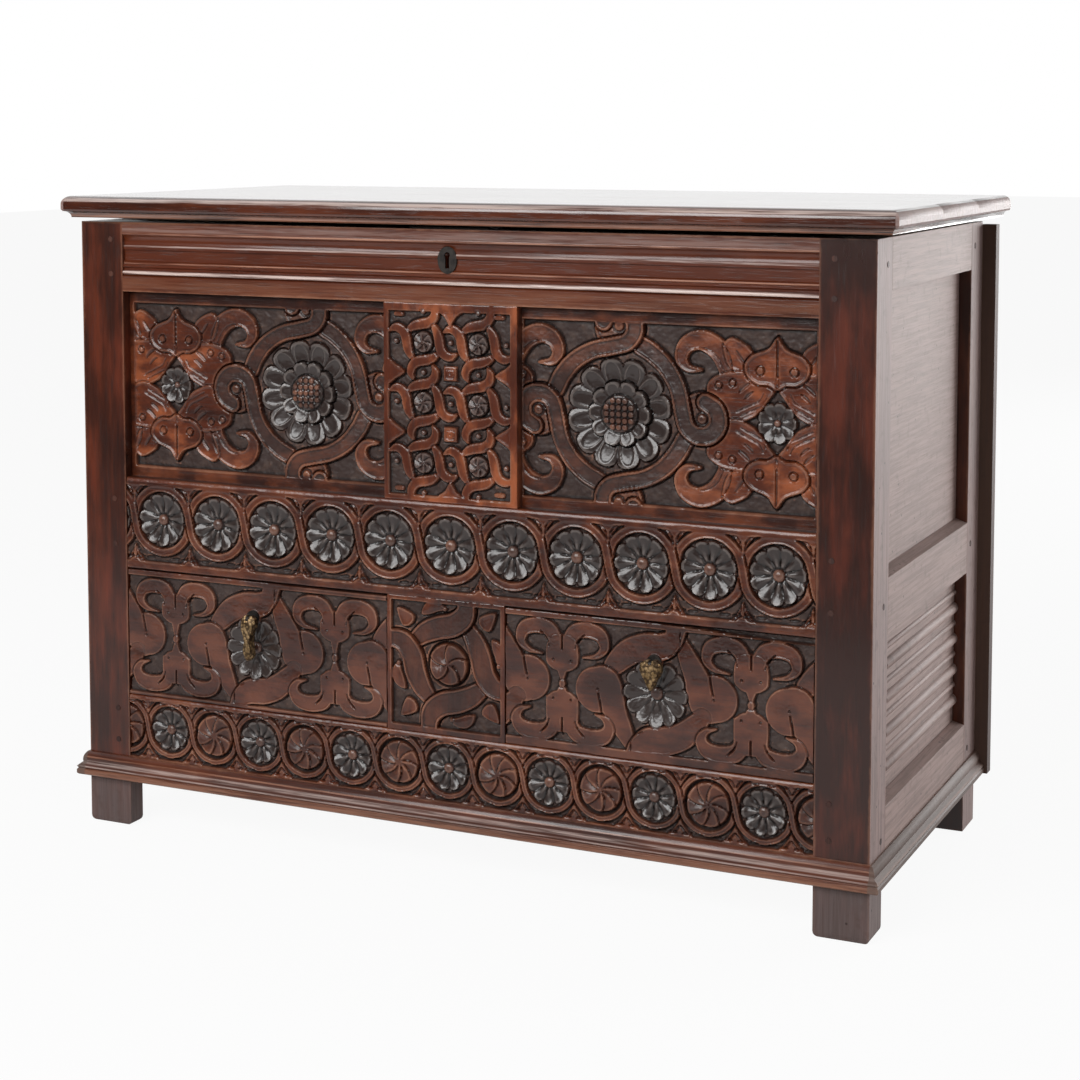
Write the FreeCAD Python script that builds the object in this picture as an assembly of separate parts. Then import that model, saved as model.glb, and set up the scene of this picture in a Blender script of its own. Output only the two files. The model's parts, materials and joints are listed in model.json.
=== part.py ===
"""Joined oak mule chest: a lidded chest over two drawers. One STEP file for each piece.

Frame: millimetres, +Z up, +X to the right seen from the front, the front faces -Y.
The origin is on the floor, under the centre of the lid's outline.
"""
import FreeCAD
import Part
import math
import os

V = FreeCAD.Vector

# ---------------------------------------------------------------- case
case_width = 1200.0
case_depth = 555.0
case_height = 898.0             # floor to the top of the stiles
foot_height = 72.0
base_moulding_height = 33.5
bottom_rail_show = 94.5          # carved face above the base moulding
drawer_opening_height = 190.0
middle_rail_height = 134.0
top_rail_height = 101.0
left_stile_width = 71.0
right_stile_width = 75.0
front_stile_depth = 68.0
rear_stile_depth = 65.0
front_rail_thickness = 32.0
left_panel_opening = 432.0
panel_muntin_width = 203.0
left_drawer_opening = 435.0
drawer_muntin_width = 181.0
rail_lift = 4.0                  # bottom rails stop this far above the moulding's underside
top_rail_relief = 6.0            # depth of the top rail's moulding
# That moulding from its top down, as shares of its depth and of the rail's height.
# A pair of points is an arc's middle and its end.
top_rail_profile = (
    (0.0, 0.149), ((0.0, 0.168), (0.27, 0.188)), (0.67, 0.208), ((1.0, 0.277), (0.5, 0.356)),
    (0.5, 0.396), (1.0, 0.396), (1.0, 0.554), (0.58, 0.574), (0.58, 0.604), (0.25, 0.614),
    (0.25, 0.644), (0.67, 0.663), (0.67, 0.693), ((0.07, 0.728), (0.67, 0.762)), (0.0, 0.782),
)

# ---------------------------------------------------------------- joints of the frame
front_tenon_setback = 12.0
tenon_thickness = 10.0
tenon_length = 42.0
tenon_haunch = 12.0
muntin_tenon_length = 26.0
side_tenon_setback = 9.0
side_tenon_length = 40.0
peg_radius = 4.2
peg_length = 38.0
peg_inset = 20.0                 # peg centre to the joint's shoulder
peg_proud = 0.6

# ---------------------------------------------------------------- panels
front_panel_recess = 17.0
front_panel_thickness = 14.0
side_panel_recess = 18.0
side_panel_thickness = 10.0
tongue_thickness = 8.0
tongue_depth = 8.0
panel_play = 0.5                 # a panel floats by this much in its grooves

# ---------------------------------------------------------------- sides and back
side_rail_thickness = 28.0
side_top_rail_height = 68.0
side_middle_rail_lap = 3.0       # it reaches this far below the head of the drawer openings
side_middle_rail_height = 80.0
side_bottom_rail_top = 166.0
ridge_pitch = 45.7
ridge_first = 31.0               # first ridge above the bottom of its panel
ridge_width = 17.0
ridge_height = 6.0
reed_width = 9.0
reed_height = 3.0
ridge_stop = 46.0                # ridges stop this far behind the front stile
back_board_thickness = 20.0
back_board_count = 5
back_board_gap = 0.6
back_overhang_left = 12.0
back_overhang_right = 20.0
back_board_drop = 5.0            # top of the back boards under the top of the stiles

# ---------------------------------------------------------------- inside
floor_thickness = 12.0
floor_rise = 12.0                # underside of the floor above the middle rail's lower edge
floor_housing = 8.0
floor_board_count = 5
floor_gap = 0.5
bearer_thickness = 25.0
partition_thickness = 18.0
runner_height = 13.0
runner_reach = 8.0
runner_rise = 88.0               # underside of the runners above the drawer opening's foot

# ---------------------------------------------------------------- drawers
drawer_side_play = 1.5
drawer_foot_play = 1.0
drawer_top_play = 3.0
drawer_front_thickness = 24.0
drawer_side_thickness = 17.0
drawer_back_thickness = 14.0
drawer_bottom_thickness = 9.0
drawer_depth = 480.0
drawer_rebate = 12.0
drawer_side_drop = 12.0          # sides stop this far under the top of the front
runner_groove_depth = 9.0
runner_groove_height = 14.0
runner_slack = 0.3               # groove's upper wall over the runner
runner_front_gap = 1.0

# ---------------------------------------------------------------- lid
lid_thickness = 31.0
lid_overhang_front = 27.0
lid_overhang_left = 17.0
lid_overhang_right = 34.0
lid_overhang_rear = 29.0
lid_front_board = 214.0
lid_middle_board = 196.0
lid_nose_radius = 12.0
lid_nose_flat = 7.0
lid_cove_radius = 9.0
lid_cove_step = 2.0
iron_thickness = 3.0
iron_clearance = 0.3

# ---------------------------------------------------------------- base moulding
moulding_projection = 15.0
# From the top of the face down, as shares of the projection and of the moulding's height.
base_moulding_profile = (
    (0.2, 0.0), ((0.48, 0.18), (0.533, 0.448)), (1.0, 0.627), (0.867, 0.716), (1.0, 0.776),
    (1.0, 0.94), (0.867, 1.0), (0.0, 1.0),
)

# ---------------------------------------------------------------- hinges
hinge_inset = 235.0              # hinge centre from each side of the case
strap_width = 34.0
strap_tip_width = 20.0
strap_length = 470.0
strap_nail_count = 5
leaf_width = 46.0
leaf_height = 150.0
leaf_nail_shares = (0.25, 0.75)  # down the leaf
knuckle_radius = 4.0
knuckle_width = 14.0
knuckle_gap = 0.4
hinge_pin_radius = 1.6
pin_clearance = 0.05

# ---------------------------------------------------------------- lock
keyhole_drop = 42.0              # keyhole centre under the top of the top rail
keyhole_height = 22.0
keyhole_radius = 4.2
keyhole_slot = 6.0
escutcheon_width = 29.0
escutcheon_height = 37.0
escutcheon_thickness = 2.5
escutcheon_seat = 6.0
lock_width = 120.0
lock_depth = 22.0
lock_height = 76.0
lock_wall = 2.0
selvedge_reach = 22.0            # top plate's reach over the top rail
staple_thickness = 4.0
staple_width = 14.0
staple_drop = 32.0
staple_clearance = 2.0
staple_eye_height = 13.0
staple_eye_width = 8.0
staple_plate_width = 64.0
staple_plate_depth = 40.0
bolt_length = 40.0
bolt_travel = 18.0
bolt_height = 9.0
bolt_thickness = 6.0
bolt_gap = 6.0                   # bolt tip to staple when unlocked
guide_thickness = 4.0            # plates inside the lock that the bolt slides in
guide_inset = 4.0                # from the bolt's tip, drawn back, to the nearest guide

# ---------------------------------------------------------------- pulls
pull_plate_radius = 10.0
pull_plate_thickness = 3.0
pull_axis_height = 135.0         # pull axis above the drawer's lower edge
pull_axis_reach = 14.0           # pull axis in front of the drawer face
pull_post_half = 3.0             # half the height of the flat post
pull_tang_thickness = 4.5
pull_eye_thickness = 4.0
pull_eye_radius = 4.6
pull_pin_radius = 2.0
pull_drop_width = {"left": 24.0, "right": 31.0}
pull_drop_length = {"left": 60.0, "right": 35.0}    # from the axis to the lower end
pull_drop_thickness = 12.0
pull_drop_slope = 0.4            # share of the thickness over which the front face draws in
pull_front_share = 0.75          # size of the front face against the back
# Half outlines from the top down, as shares of half the width and of the length.
pull_drop_outline = {
    "left": (
        (0.45, -0.08), (0.8, -0.02), (1.0, 0.07), (1.0, 0.17), (0.75, 0.27), (0.6, 0.37),
        (0.45, 0.55), (0.6, 0.73), (0.68, 0.85), (0.5, 0.95), (0.2, 1.0),
    ),
    "right": (
        (0.5, -0.14), (0.95, 0.0), (1.0, 0.24), (0.8, 0.46), (0.5, 0.67), (0.32, 0.88), (0.12, 1.0),
    ),
}

# ---------------------------------------------------------------- nails
nail_shank = 3.0
nail_head = 9.0
nail_head_rise = 2.5
nail_length = 20.0
nail_edge = 24.0                 # nails from a board's edge

boolean_tolerance = 0.001


class Side:
    """One side of the case: distances run inwards from its outer face."""

    def __init__(self, name, outer, inward, stile_width):
        self.name = name
        self.outer = outer
        self.inward = inward
        self.stile_width = stile_width

    def x(self, depth):
        return self.outer + self.inward * depth


lid_width = case_width + lid_overhang_left + lid_overhang_right
lid_depth = case_depth + lid_overhang_front + lid_overhang_rear
lid_left = -lid_width / 2
lid_front = -lid_depth / 2
case_left = lid_left + lid_overhang_left
case_right = case_left + case_width
case_centre = (case_left + case_right) / 2
front = lid_front + lid_overhang_front
rear = front + case_depth
left = Side("left", case_left, 1, left_stile_width)
right = Side("right", case_right, -1, right_stile_width)
sides = (left, right)

moulding_top = foot_height + base_moulding_height
rail_bottom = foot_height + rail_lift
drawer_foot = moulding_top + bottom_rail_show
drawer_head = drawer_foot + drawer_opening_height
panel_foot = drawer_head + middle_rail_height
case_top = case_height
panel_head = case_top - top_rail_height
lid_bottom = case_top + 2 * iron_thickness + iron_clearance
inner_left = left.x(left_stile_width)
inner_right = right.x(right_stile_width)
panel_muntin_left = inner_left + left_panel_opening
panel_muntin_right = panel_muntin_left + panel_muntin_width
drawer_muntin_left = inner_left + left_drawer_opening
drawer_muntin_right = drawer_muntin_left + drawer_muntin_width
front_rail_back = front + front_rail_thickness
rear_rail_front = rear - side_rail_thickness
floor_bottom = drawer_head + floor_rise
side_middle_rail_bottom = drawer_head - side_middle_rail_lap
side_middle_rail_top = side_middle_rail_bottom + side_middle_rail_height
bearer_housing = 0.8 * (front_rail_thickness - front_tenon_setback - tenon_thickness)
side_start = front + front_stile_depth
side_end = rear - rear_stile_depth
back_face = rear + back_board_thickness
hinge_y = back_face + knuckle_radius + iron_clearance
hinge_z = lid_bottom - iron_clearance - knuckle_radius
hinge_xs = (case_left + hinge_inset, case_right - hinge_inset)


# ================================================================ helpers
def box(x0, x1, y0, y1, z0, z1):
    """A box between two corners, given in any order."""
    low = V(min(x0, x1), min(y0, y1), min(z0, z1))
    return Part.makeBox(abs(x1 - x0), abs(y1 - y0), abs(z1 - z0), low)


def face(start, steps, place):
    """A face from an outline. A step is a point for a line, or a pair (middle, end) for an arc."""
    edges = []
    here = start
    for step in steps:
        if isinstance(step[0], tuple):
            middle, end = step
            arc = Part.Arc(place(*here), place(*middle), place(*end))
            edges.append(arc.toShape())
        else:
            end = step
            edges.append(Part.LineSegment(place(*here), place(*end)).toShape())
        here = end
    edges.append(Part.LineSegment(place(*here), place(*start)).toShape())
    return Part.Face(Part.Wire(edges))


def along_x(start, steps, x0, x1):
    """An outline in Y and Z, drawn out from x0 to x1."""
    return face(start, steps, lambda y, z: V(x0, y, z)).extrude(V(x1 - x0, 0, 0))


def along_y(start, steps, y0, y1):
    """An outline in X and Z, drawn out from y0 to y1."""
    return face(start, steps, lambda x, z: V(x, y0, z)).extrude(V(0, y1 - y0, 0))


def plan(points, z0, z1):
    """A polygon in X and Y, drawn out from z0 to z1."""
    return face(points[0], points[1:], lambda x, y: V(x, y, z0)).extrude(V(0, 0, z1 - z0))


def rod(start, direction, radius, length):
    return Part.makeCylinder(radius, length, start, direction)


def profile(points, place):
    """An outline's steps, each point of it put through place."""
    steps = []
    for point in points:
        if isinstance(point[0], tuple):
            steps.append(tuple(place(*end) for end in point))
        else:
            steps.append(place(*point))
    return steps


def fused(shapes):
    return shapes[0].multiFuse(shapes[1:]).removeSplitter()


def peg(start, direction, length=peg_length):
    """A riven peg: an eight-sided pin."""
    corner_count = 8
    across = direction.cross(V(0, 0, 1))
    corners = []
    for i in range(corner_count + 1):
        turn = 2 * math.pi * (i + 0.5) / corner_count
        spread = across * (peg_radius * math.cos(turn)) + V(0, 0, peg_radius * math.sin(turn))
        corners.append(start + spread)
    return Part.Face(Part.makePolygon(corners)).extrude(direction * length)


def nail(head_base, direction, length=nail_length):
    """A forged nail: square shank and a low four-sided head that sits on head_base."""
    along = FreeCAD.Rotation(V(0, 0, 1), direction)
    half = nail_shank / 2
    shank = Part.makeBox(nail_shank, nail_shank, length, V(-half, -half, 0))
    edge = nail_head / 2
    square = [V(-edge, -edge, 0), V(edge, -edge, 0), V(edge, edge, 0), V(-edge, edge, 0)]
    tip = V(0, 0, -nail_head_rise)
    facets = [Part.Face(Part.makePolygon(square + [square[0]]))]
    for i in range(4):
        corners = [square[i], square[(i + 1) % 4], tip, square[i]]
        facets.append(Part.Face(Part.makePolygon(corners)))
    head = Part.makeSolid(Part.makeShell(facets))
    if head.Volume < 0:
        head.reverse()
    made = fused([shank, head])
    made.Placement = FreeCAD.Placement(head_base, along)
    return made


# ================================================================ frame of the case
def stile(side, y0, y1):
    return box(side.x(0), side.x(side.stile_width), y0, y1, 0, case_top)


def cross_rail(y0, y1, tenon_y, z0, z1):
    """A rail between the left and right stiles, with a tenon at each end."""
    made = [box(inner_left, inner_right, y0, y1, z0, z1)]
    return fused(made + [cross_tenon(side, tenon_y, z0, z1) for side in sides])


def cross_tenon(side, tenon_y, z0, z1):
    shoulder = side.x(side.stile_width)
    end = side.x(side.stile_width - tenon_length)
    return box(shoulder, end, tenon_y, tenon_y + tenon_thickness, z0 + tenon_haunch, z1 - tenon_haunch)


def front_rail(z0, z1):
    return cross_rail(front, front_rail_back, front + front_tenon_setback, z0, z1)


def rear_rail(z0, z1):
    tenon_y = rear - front_tenon_setback - tenon_thickness
    return cross_rail(rear_rail_front, rear, tenon_y, z0, z1)


def top_rail():
    """The moulded rail: fascia, bead, hollow, sunk band, two steps, bead and plain face."""
    def place(deep, drop):
        return (front + deep * top_rail_relief, case_top - drop * top_rail_height)

    steps = profile(top_rail_profile, place)
    steps += [(front, panel_head), (front_rail_back, panel_head), (front_rail_back, case_top)]
    body = along_x((front, case_top), steps, inner_left, inner_right)
    tenons = [cross_tenon(side, front + front_tenon_setback, panel_head, case_top) for side in sides]
    return fused([body] + tenons)


def muntin(x0, x1, z0, z1):
    """An upright between two rails, with a stub tenon at each end."""
    y0 = front + front_tenon_setback
    tenon = box(
        x0 + tenon_haunch, x1 - tenon_haunch, y0, y0 + tenon_thickness,
        z0 - muntin_tenon_length, z1 + muntin_tenon_length,
    )
    return fused([box(x0, x1, front, front_rail_back, z0, z1), tenon])


def side_rail(side, z0, z1):
    """A rail between the front and the rear stile of one side."""
    body = box(side.x(0), side.x(side_rail_thickness), side_start, side_end, z0, z1)
    tenon = box(
        side.x(side_tenon_setback), side.x(side_tenon_setback + tenon_thickness),
        side_start - side_tenon_length, side_end + side_tenon_length,
        z0 + tenon_haunch, z1 - tenon_haunch,
    )
    return fused([body, tenon])


# ================================================================ panels
def front_panel(x0, x1, play=0.0):
    """A carved panel's board with its tongue. Play makes it the seat that the frame is grooved for."""
    reach = tongue_depth + play
    y0 = front + front_panel_recess
    board = box(x0, x1, y0, y0 + front_panel_thickness, panel_foot, panel_head)
    tongue = box(x0 - reach, x1 + reach, y0, y0 + tongue_thickness, panel_foot - reach, panel_head + reach)
    return fused([board, tongue])


def side_panel(side, z0, z1, play=0.0):
    reach = tongue_depth + play
    x0 = side_panel_recess
    board = box(side.x(x0), side.x(x0 + side_panel_thickness), side_start, side_end, z0, z1)
    tongue = box(
        side.x(x0), side.x(x0 + tongue_thickness), side_start - reach, side_end + reach,
        z0 - reach, z1 + reach,
    )
    return fused([board, tongue])


def ridge(side, z, width, height):
    """A rounded ridge along a side panel, centred at height z."""
    foot = side.x(side_panel_recess)
    crown = side.x(side_panel_recess - height)
    arc = ((crown, z), (foot, z + width / 2))
    return along_y((foot, z - width / 2), (arc,), side_start + ridge_stop, side_end)


def linenfold_panel(side, z0, z1):
    """The lower side panel: bold ridges with a small reed above each."""
    made = [side_panel(side, z0, z1)]
    count = 1 + int((z1 - z0 - ridge_first - ridge_width / 2) // ridge_pitch)
    for i in range(count):
        z = z0 + ridge_first + i * ridge_pitch
        made.append(ridge(side, z, ridge_width, ridge_height))
        reed_z = z + ridge_pitch / 2
        if reed_z + reed_width / 2 < z1:
            made.append(ridge(side, reed_z, reed_width, reed_height))
    return fused(made)


# ================================================================ floor, back and drawer carcase
def floor_slab():
    return box(
        left.x(side_rail_thickness - floor_housing), right.x(side_rail_thickness - floor_housing),
        front_rail_back - floor_housing, rear_rail_front + floor_housing,
        floor_bottom, floor_bottom + floor_thickness,
    )


def boards_across(slab, count, gap):
    """A slab divided into boards of equal width, side by side along X."""
    bounds = slab.BoundBox
    pitch = (bounds.XLength + gap) / count
    made = []
    for i in range(count):
        x0 = bounds.XMin + i * pitch
        strip = box(x0, x0 + pitch - gap, bounds.YMin, bounds.YMax, bounds.ZMin, bounds.ZMax)
        made.append(slab.common(strip))
    return made


def floor_boards():
    posts = []
    for side in sides:
        for y0, y1 in ((front, side_start), (side_end, rear)):
            outer = side.x(0)
            inner = side.x(side.stile_width + floor_gap)
            y_near = y0 - floor_gap
            y_far = y1 + floor_gap
            posts.append(box(outer, inner, y_near, y_far, 0, case_top))
    return boards_across(floor_slab().cut(posts), floor_board_count, floor_gap)


def back_boards():
    slab = box(
        left.x(-back_overhang_left), right.x(-back_overhang_right), rear, back_face,
        foot_height, case_top - back_board_drop,
    )
    return boards_across(slab, back_board_count, back_board_gap)


def centre_bearer():
    z0 = drawer_foot - bearer_thickness
    body = box(drawer_muntin_left, drawer_muntin_right, front_rail_back, rear_rail_front, z0, drawer_foot)
    tenon = box(
        drawer_muntin_left + tenon_haunch, drawer_muntin_right - tenon_haunch,
        front_rail_back - bearer_housing, rear_rail_front + bearer_housing,
        z0 + tenon_haunch / 2, drawer_foot - tenon_haunch / 2,
    )
    return fused([body, tenon])


def partitions():
    made = []
    for x0, into in ((drawer_muntin_left, 1), (drawer_muntin_right, -1)):
        x1 = x0 + into * partition_thickness
        made.append(box(x0, x1, front_rail_back, rear_rail_front, drawer_foot, floor_bottom))
    return made


def runner_walls():
    """The upright faces that the runners are nailed to, each with the way its runner reaches."""
    return ((inner_left, 1), (drawer_muntin_left, -1), (drawer_muntin_right, 1), (inner_right, -1))


def runners():
    y0 = front + drawer_front_thickness + runner_front_gap
    z0 = drawer_foot + runner_rise
    made = []
    for x, way in runner_walls():
        y1 = rear_rail_front
        made.append(box(x, x + way * runner_reach, max(y0, front_rail_back), y1, z0, z0 + runner_height))
    return made


def base_moulding_steps(outwards):
    """The moulding's outline from its top down: ovolo, sloping step, quirk and plain foot."""
    def place(out, drop):
        return (outwards(out * moulding_projection), moulding_top - drop * base_moulding_height)

    return profile(base_moulding_profile, place)


def base_moulding_front():
    steps = base_moulding_steps(lambda out: front - out)
    ends = (left.x(-moulding_projection), right.x(-moulding_projection))
    bar = along_x((front, moulding_top), steps, *ends)
    outline = [
        (left.x(0), front), (ends[0], front - moulding_projection),
        (ends[1], front - moulding_projection), (right.x(0), front),
    ]
    return bar.common(plan(outline, 0, case_top))


def base_moulding_side(side):
    steps = base_moulding_steps(lambda out: side.x(-out))
    bar = along_y((side.x(0), moulding_top), steps, front - moulding_projection, rear)
    outline = [
        (side.x(0), front), (side.x(-moulding_projection), front - moulding_projection),
        (side.x(-moulding_projection), rear), (side.x(0), rear),
    ]
    return bar.common(plan(outline, 0, case_top))


# ================================================================ pegs and nails
def quarter_heights(z0, z1):
    return (z0 + (z1 - z0) / 4, z1 - (z1 - z0) / 4)


def frame_pegs(front_rails, side_rails, rear_rails):
    made = []
    for side in sides:
        x = side.x(side.stile_width - peg_inset)
        for z0, z1 in front_rails:
            for z in quarter_heights(z0, z1):
                made.append(peg(V(x, front - peg_proud, z), V(0, 1, 0)))
        for z0, z1 in rear_rails:
            made.append(peg(V(x, rear, (z0 + z1) / 2), V(0, -1, 0)))
        for z0, z1 in side_rails:
            for y in (side_start - peg_inset, side_end + peg_inset):
                start = V(side.x(-peg_proud), y, (z0 + z1) / 2)
                made.append(peg(start, V(side.inward, 0, 0), peg_length - tenon_thickness))
    return made


def back_nails(boards, rail_spans):
    made = []
    for board in boards:
        bounds = board.BoundBox
        inset = nail_edge + back_overhang_right
        for x in (bounds.XMin + inset, bounds.XMax - inset):
            for z0, z1 in rail_spans:
                head_base = V(x, back_face, (z0 + z1) / 2)
                made.append(nail(head_base, V(0, -1, 0), back_board_thickness + nail_length / 2))
    return made


def runner_nails():
    z = drawer_foot + runner_rise + runner_height / 2
    made = []
    for x, way in runner_walls():
        for y in (side_start - nail_edge / 2, rear_rail_front - nail_edge / 2):
            head_base = V(x + way * (runner_reach - nail_head_rise), y, z)
            made.append(nail(head_base, V(-way, 0, 0)))
    return made


# ================================================================ lid
def lid_slab():
    """The moulded lid in one piece: nose above and cove below, on the front and both ends."""
    top = lid_bottom + lid_thickness
    cove_in = lid_cove_step + lid_cove_radius
    cove_up = lid_bottom + lid_cove_radius
    bow = lid_cove_radius * (1 - math.cos(math.pi / 4))
    nose_foot = top - lid_nose_radius - lid_nose_flat
    nose_bow = lid_nose_radius * (1 - math.cos(math.pi / 4))

    def edge(inwards):
        """From the underside, round the edge, to the top face."""
        cove = ((inwards(cove_in - bow), cove_up - bow), (inwards(lid_cove_step), cove_up))
        nose = ((inwards(nose_bow), top - nose_bow), (inwards(lid_nose_radius), top))
        return (cove, (inwards(0), nose_foot), (inwards(0), top - lid_nose_radius), nose)

    def edge_back(inwards):
        """The same edge from the top face down to the underside."""
        nose = ((inwards(nose_bow), top - nose_bow), (inwards(0), top - lid_nose_radius))
        cove = ((inwards(cove_in - bow), cove_up - bow), (inwards(cove_in), lid_bottom))
        return (nose, (inwards(0), nose_foot), (inwards(lid_cove_step), cove_up), cove)

    lid_rear = lid_front + lid_depth
    lid_right = lid_left + lid_width
    front_steps = edge(lambda o: lid_front + o) + ((lid_rear, top), (lid_rear, lid_bottom))
    lengthwise = along_x((lid_front + cove_in, lid_bottom), front_steps, lid_left, lid_right)
    end_steps = edge(lambda o: lid_left + o) + ((lid_right - lid_nose_radius, top),)
    end_steps = end_steps + edge_back(lambda o: lid_right - o)
    crosswise = along_y((lid_left + cove_in, lid_bottom), end_steps, lid_front, lid_rear)
    return lengthwise.common(crosswise, boolean_tolerance)


def lid_boards():
    slab = lid_slab()
    cuts = (
        lid_front, lid_front + lid_front_board, lid_front + lid_front_board + lid_middle_board,
        lid_front + lid_depth,
    )
    bounds = slab.BoundBox
    boards = []
    for y0, y1 in zip(cuts, cuts[1:]):
        boards.append(slab.common(box(bounds.XMin, bounds.XMax, y0, y1, bounds.ZMin, bounds.ZMax)))
    return boards


# ================================================================ hinges
def knuckle(x0, x1):
    return rod(V(x0, hinge_y, hinge_z), V(1, 0, 0), knuckle_radius, x1 - x0)


def pin_bore(x):
    reach = 2 * knuckle_width
    return rod(V(x - reach, hinge_y, hinge_z), V(1, 0, 0), hinge_pin_radius + pin_clearance, 2 * reach)


def hinge_strap(x):
    """A tapering strap under the lid, with two knuckles that straddle the leaf's."""
    z0 = lid_bottom - iron_thickness
    tip_y = hinge_y - strap_length
    half = strap_width / 2
    tip = strap_tip_width / 2
    outline = [
        (x - half, hinge_y), (x - half, hinge_y - strap_width), (x - tip, tip_y + strap_width),
        (x - half, tip_y + strap_tip_width), (x, tip_y), (x + half, tip_y + strap_tip_width),
        (x + tip, tip_y + strap_width), (x + half, hinge_y - strap_width), (x + half, hinge_y),
    ]
    plate = plan(outline, z0, lid_bottom)
    inner = knuckle_width / 2 + knuckle_gap
    notch_front = hinge_y - knuckle_radius - iron_clearance
    notch = box(x - inner, x + inner, notch_front, hinge_y + knuckle_radius, z0, lid_bottom)
    bodies = [plate.cut(notch)]
    for x0, x1 in ((x - half, x - inner), (x + inner, x + half)):
        bodies.append(knuckle(x0, x1))
        bodies.append(box(x0, x1, notch_front, hinge_y, hinge_z, lid_bottom))
    return fused(bodies).cut(pin_bore(x))


def hinge_leaf(x):
    """The fixed leaf on the back boards, with the middle knuckle at its top."""
    half = leaf_width / 2
    inner = knuckle_width / 2
    leaf_top = hinge_z - knuckle_radius - iron_clearance
    leaf_back = back_face + iron_thickness
    plate = box(x - half, x + half, back_face, leaf_back, leaf_top - leaf_height, leaf_top)
    neck = box(x - inner, x + inner, back_face, leaf_back, leaf_top - iron_thickness, hinge_z)
    return fused([plate, neck, knuckle(x - inner, x + inner)]).cut(pin_bore(x))


def hinge_pin(x):
    half = strap_width / 2
    return rod(V(x - half, hinge_y, hinge_z), V(1, 0, 0), hinge_pin_radius, strap_width)


def strap_nails(x):
    """Nails up through the strap, evenly spaced between its knuckles and its tip."""
    first = hinge_y - nail_edge
    last = hinge_y - strap_length + nail_edge
    z = lid_bottom - iron_thickness
    pitch = (last - first) / (strap_nail_count - 1)
    return [nail(V(x, first + i * pitch, z), V(0, 0, 1)) for i in range(strap_nail_count)]


def leaf_nails(x):
    leaf_top = hinge_z - knuckle_radius - iron_clearance
    y = back_face + iron_thickness
    made = []
    for share in leaf_nail_shares:
        made.append(nail(V(x, y, leaf_top - share * leaf_height), V(0, -1, 0)))
    return made


# ================================================================ lock
def lock_floor():
    return case_top - lock_height


def keyhole(y0, y1):
    """The cut for the key: a round head over a slot."""
    z = case_top - keyhole_drop
    head_z = z + keyhole_height / 2 - keyhole_radius
    head = rod(V(case_centre, y0, head_z), V(0, 1, 0), keyhole_radius, y1 - y0)
    half = keyhole_slot / 2
    slot = box(case_centre - half, case_centre + half, y0, y1, z - keyhole_height / 2, head_z)
    return fused([head, slot])


def escutcheon_plate(grow=0.0, depth=escutcheon_thickness):
    """An oval plate that lies on the bottom of its seat."""
    z = case_top - keyhole_drop
    major = escutcheon_height / 2 + grow
    minor = escutcheon_width / 2 + grow
    y = front + escutcheon_seat
    oval = Part.Ellipse(V(case_centre, y, z + major), V(case_centre + minor, y, z), V(case_centre, y, z))
    return Part.Face(Part.Wire([oval.toShape()])).extrude(V(0, -depth, 0))


def staple_y():
    return front_rail_back + lock_wall + staple_clearance


def bolt_z():
    return case_top - staple_drop + staple_eye_height / 2 + iron_thickness


def bolt_tip():
    """The tip of the bolt when it is drawn back."""
    return case_centre - staple_thickness / 2 - bolt_gap


def bolt_section(x0, x1, grow=0.0):
    """The bolt's own bar from x0 to x1. Grown, it is the way that the bolt slides in."""
    y = staple_y() + staple_width / 2
    half = bolt_thickness / 2 + grow
    rise = bolt_height / 2 + grow
    return box(x0, x1, y - half, y + half, bolt_z() - rise, bolt_z() + rise)


def bolt_guides():
    """Two plates that hold the bolt, and one past the staple that its tip enters."""
    near = bolt_tip() - guide_inset - guide_thickness
    far = bolt_tip() + bolt_travel - bolt_length
    catch = bolt_tip() + bolt_travel - guide_thickness
    made = []
    for x in (far, near, catch):
        made.append(box(
            x, x + guide_thickness, front_rail_back, front_rail_back + lock_depth,
            bolt_z() - bolt_height, case_top,
        ))
    return made


def lock_case():
    """The iron box behind the top rail, with the plate that laps over the rail."""
    half = lock_width / 2
    inside = half - lock_wall
    y1 = front_rail_back + lock_depth
    body = box(case_centre - half, case_centre + half, front_rail_back, y1, lock_floor(), case_top)
    plate = box(
        case_centre - half, case_centre + half, front_rail_back - selvedge_reach, y1,
        case_top, case_top + iron_thickness,
    )
    chamber = box(
        case_centre - inside, case_centre + inside, front_rail_back + lock_wall, y1 - lock_wall,
        lock_floor() + lock_wall, case_top,
    )
    mouth_half = staple_thickness / 2 + staple_clearance
    mouth = box(
        case_centre - mouth_half, case_centre + mouth_half,
        staple_y() - staple_clearance, staple_y() + staple_width + staple_clearance,
        case_top, case_top + iron_thickness,
    )
    hollow = fused([body, plate]).cut(chamber)
    bolt_way = bolt_section(case_centre - inside, case_centre + inside, iron_clearance)
    key_cut = keyhole(front_rail_back, front_rail_back + lock_wall)
    return fused([hollow] + bolt_guides()).cut([bolt_way, mouth, key_cut])


def lock_bolt():
    """The sliding bolt, drawn back from the staple."""
    return bolt_section(bolt_tip() - bolt_length, bolt_tip())


def lock_staple():
    """The plate under the lid, with the eyed tongue that the bolt passes through."""
    z1 = lid_bottom - iron_thickness
    half = staple_plate_width / 2
    y0 = staple_y() + staple_width / 2 - staple_plate_depth / 2
    plate = box(case_centre - half, case_centre + half, y0, y0 + staple_plate_depth, z1, lid_bottom)
    thick = staple_thickness / 2
    tongue = box(
        case_centre - thick, case_centre + thick, staple_y(), staple_y() + staple_width,
        z1 - staple_drop, z1,
    )
    middle = staple_y() + staple_width / 2
    eye = box(
        case_centre - thick, case_centre + thick,
        middle - staple_eye_width / 2, middle + staple_eye_width / 2,
        bolt_z() - staple_eye_height / 2, bolt_z() + staple_eye_height / 2,
    )
    return fused([plate, tongue]).cut(eye)


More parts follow.
